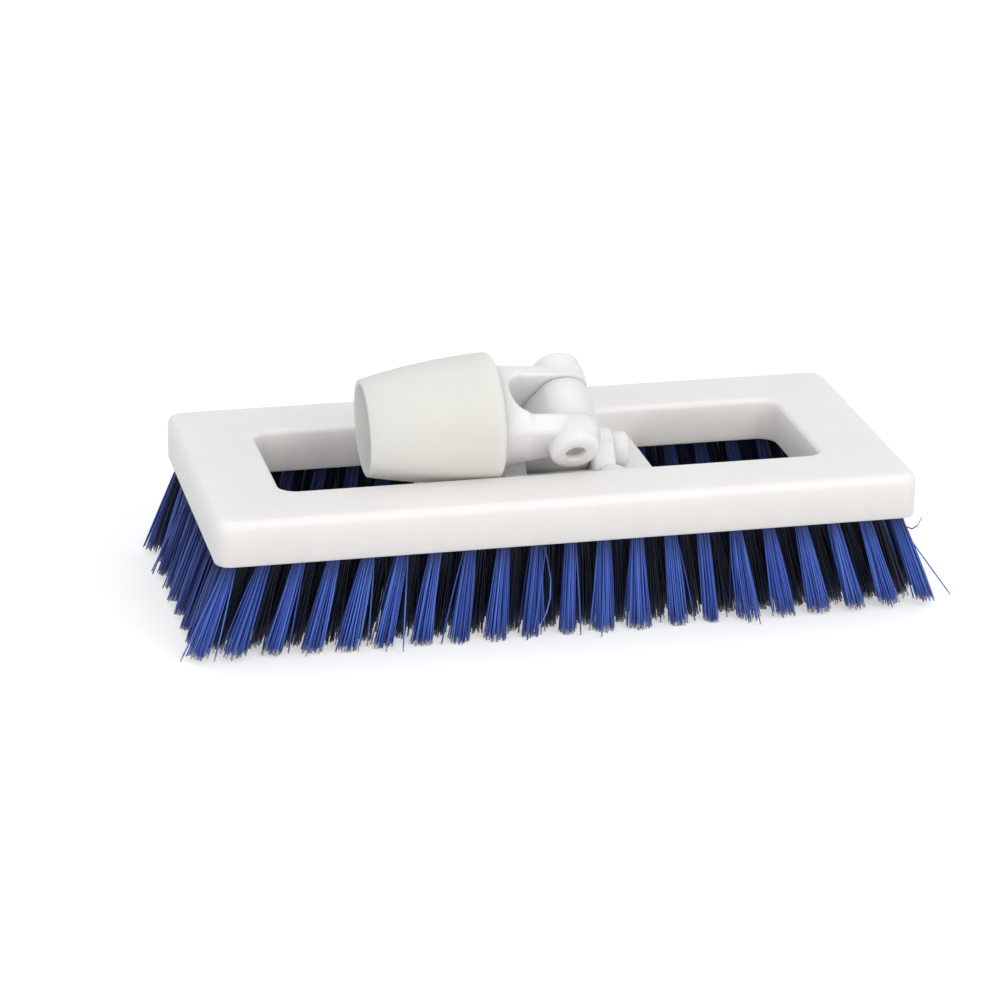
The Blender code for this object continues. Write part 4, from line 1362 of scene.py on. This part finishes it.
@dataclass
class Studio:
    """Floor, lamps, world and camera."""

    floor_half: float = 4.0
    eye: Vector = field(default_factory=lambda: Vector((-0.2966, -1.1268, 0.4946)))
    aim: Vector = field(default_factory=lambda: Vector((-0.02168, -0.03609, 0.0450)))
    roll: float = math.radians(1.281)
    lens: float = 130.1
    world_light: float = 0.74
    lamps: tuple = (Lamp("top_lamp", (0.15, 0.10, 1.5), 1.3, 3.2),
                    Lamp("right_lamp", (0.60, -1.25, 1.05), 0.9, 8.5),
                    Lamp("left_lamp", (-0.85, -1.30, 0.80), 1.0, 5.0))
    lamp_colour: tuple = (1.0, 0.945, 0.86)
    sky_colour: tuple = (0.89, 0.94, 1.0)

    def build_floor(self) -> None:
        """A flat floor that runs far past the picture."""
        half = self.floor_half
        corners = np.array([(-half, -half, 0), (half, -half, 0), (half, half, 0), (-half, half, 0)])
        floor = make_piece("floor", corners, [np.array([[0, 1, 2, 3]])],
                           PaleFloor("floor_pale").material(), outwards=False)

    def build_lamp(self, lamp: Lamp) -> None:
        """Puts up a lamp and aims it at the middle of the brush."""
        data = bpy.data.lights.new(lamp.name, "AREA")
        data.shape, data.size = "SQUARE", lamp.size
        data.energy, data.color = lamp.power, self.lamp_colour
        light = link_object(lamp.name, data)
        light.location = lamp.place
        away = Vector(lamp.place) - self.aim
        light.rotation_euler = away.to_track_quat("Z", "Y").to_euler()

    def build_world(self) -> None:
        """An even world, a little cool against the lamps, that shows plain white to the camera."""
        world = bpy.data.worlds.new("studio_world")
        world.use_nodes = True
        nodes, links = world.node_tree.nodes, world.node_tree.links
        sky = nodes["Background"]
        sky.inputs["Color"].default_value = (*self.sky_colour, 1.0)
        sky.inputs["Strength"].default_value = self.world_light
        seen = nodes.new("ShaderNodeBackground")
        seen.inputs["Color"].default_value = (1.0, 1.0, 1.0, 1.0)
        ray, mix = nodes.new("ShaderNodeLightPath"), nodes.new("ShaderNodeMixShader")
        links.new(ray.outputs["Is Camera Ray"], mix.inputs[0])
        links.new(sky.outputs[0], mix.inputs[1])
        links.new(seen.outputs[0], mix.inputs[2])
        links.new(mix.outputs[0], nodes["World Output"].inputs["Surface"])
        bpy.context.scene.world = world

    def build_camera(self) -> None:
        """The camera at the photograph's place, with its slight roll."""
        data = bpy.data.cameras.new("camera")
        data.lens, data.sensor_width = self.lens, 36.0
        data.clip_start, data.clip_end = 0.05, 20.0
        camera = link_object("camera", data)
        camera.location = self.eye
        camera.rotation_mode = "QUATERNION"
        look = (self.aim - self.eye).to_track_quat("-Z", "Y")
        camera.rotation_quaternion = look @ Quaternion((0, 0, 1), self.roll)
        bpy.context.scene.camera = camera

    def build(self) -> None:
        """Sets the whole studio."""
        scene = bpy.context.scene
        scene.view_settings.view_transform = "Standard"
        self.build_floor()
        self.build_world()
        for lamp in self.lamps:
            self.build_lamp(lamp)
        self.build_camera()


def main() -> None:
    """Builds every piece of the brush in order, then the studio."""
    white = MouldedWhite("white_block", (0.86, 0.83, 0.81))
    joint_white = MouldedWhite("white_joint", (0.825, 0.815, 0.81), roughness=0.36)
    sleeve_white = MouldedWhite("white_socket", (0.75, 0.737, 0.695), roughness=0.50, grain_mm=0.5,
                                grain_depth_mm=0.016)
    nylon = NaturalNylon("natural_nylon", (0.915, 0.925, 0.93))
    blue = Filament("blue_filament", (0.034, 0.082, 0.44), (0.12, 0.24, 0.80), (0.66, 0.65, 0.70))
    steel = DrawnSteel("drawn_steel", (0.52, 0.48, 0.44))
    swivel = Swivel()
    steel_made = steel.material()
    joint_made = joint_white.material()
    block = BrushBlock(white.material())
    tufts = BristleField(blue.material(), block)
    block.build(np.concatenate(list(tufts.rows().values())))
    tufts.build()
    SwivelBase(nylon.material(), joint_made, steel_made, swivel, block).build()
    Knuckle(joint_made, swivel).build()
    Yoke(joint_made, steel_made, swivel).build()
    HandleSocket(sleeve_white.material(), swivel).build()
    Studio().build()


if __name__ == "__main__":
    main()
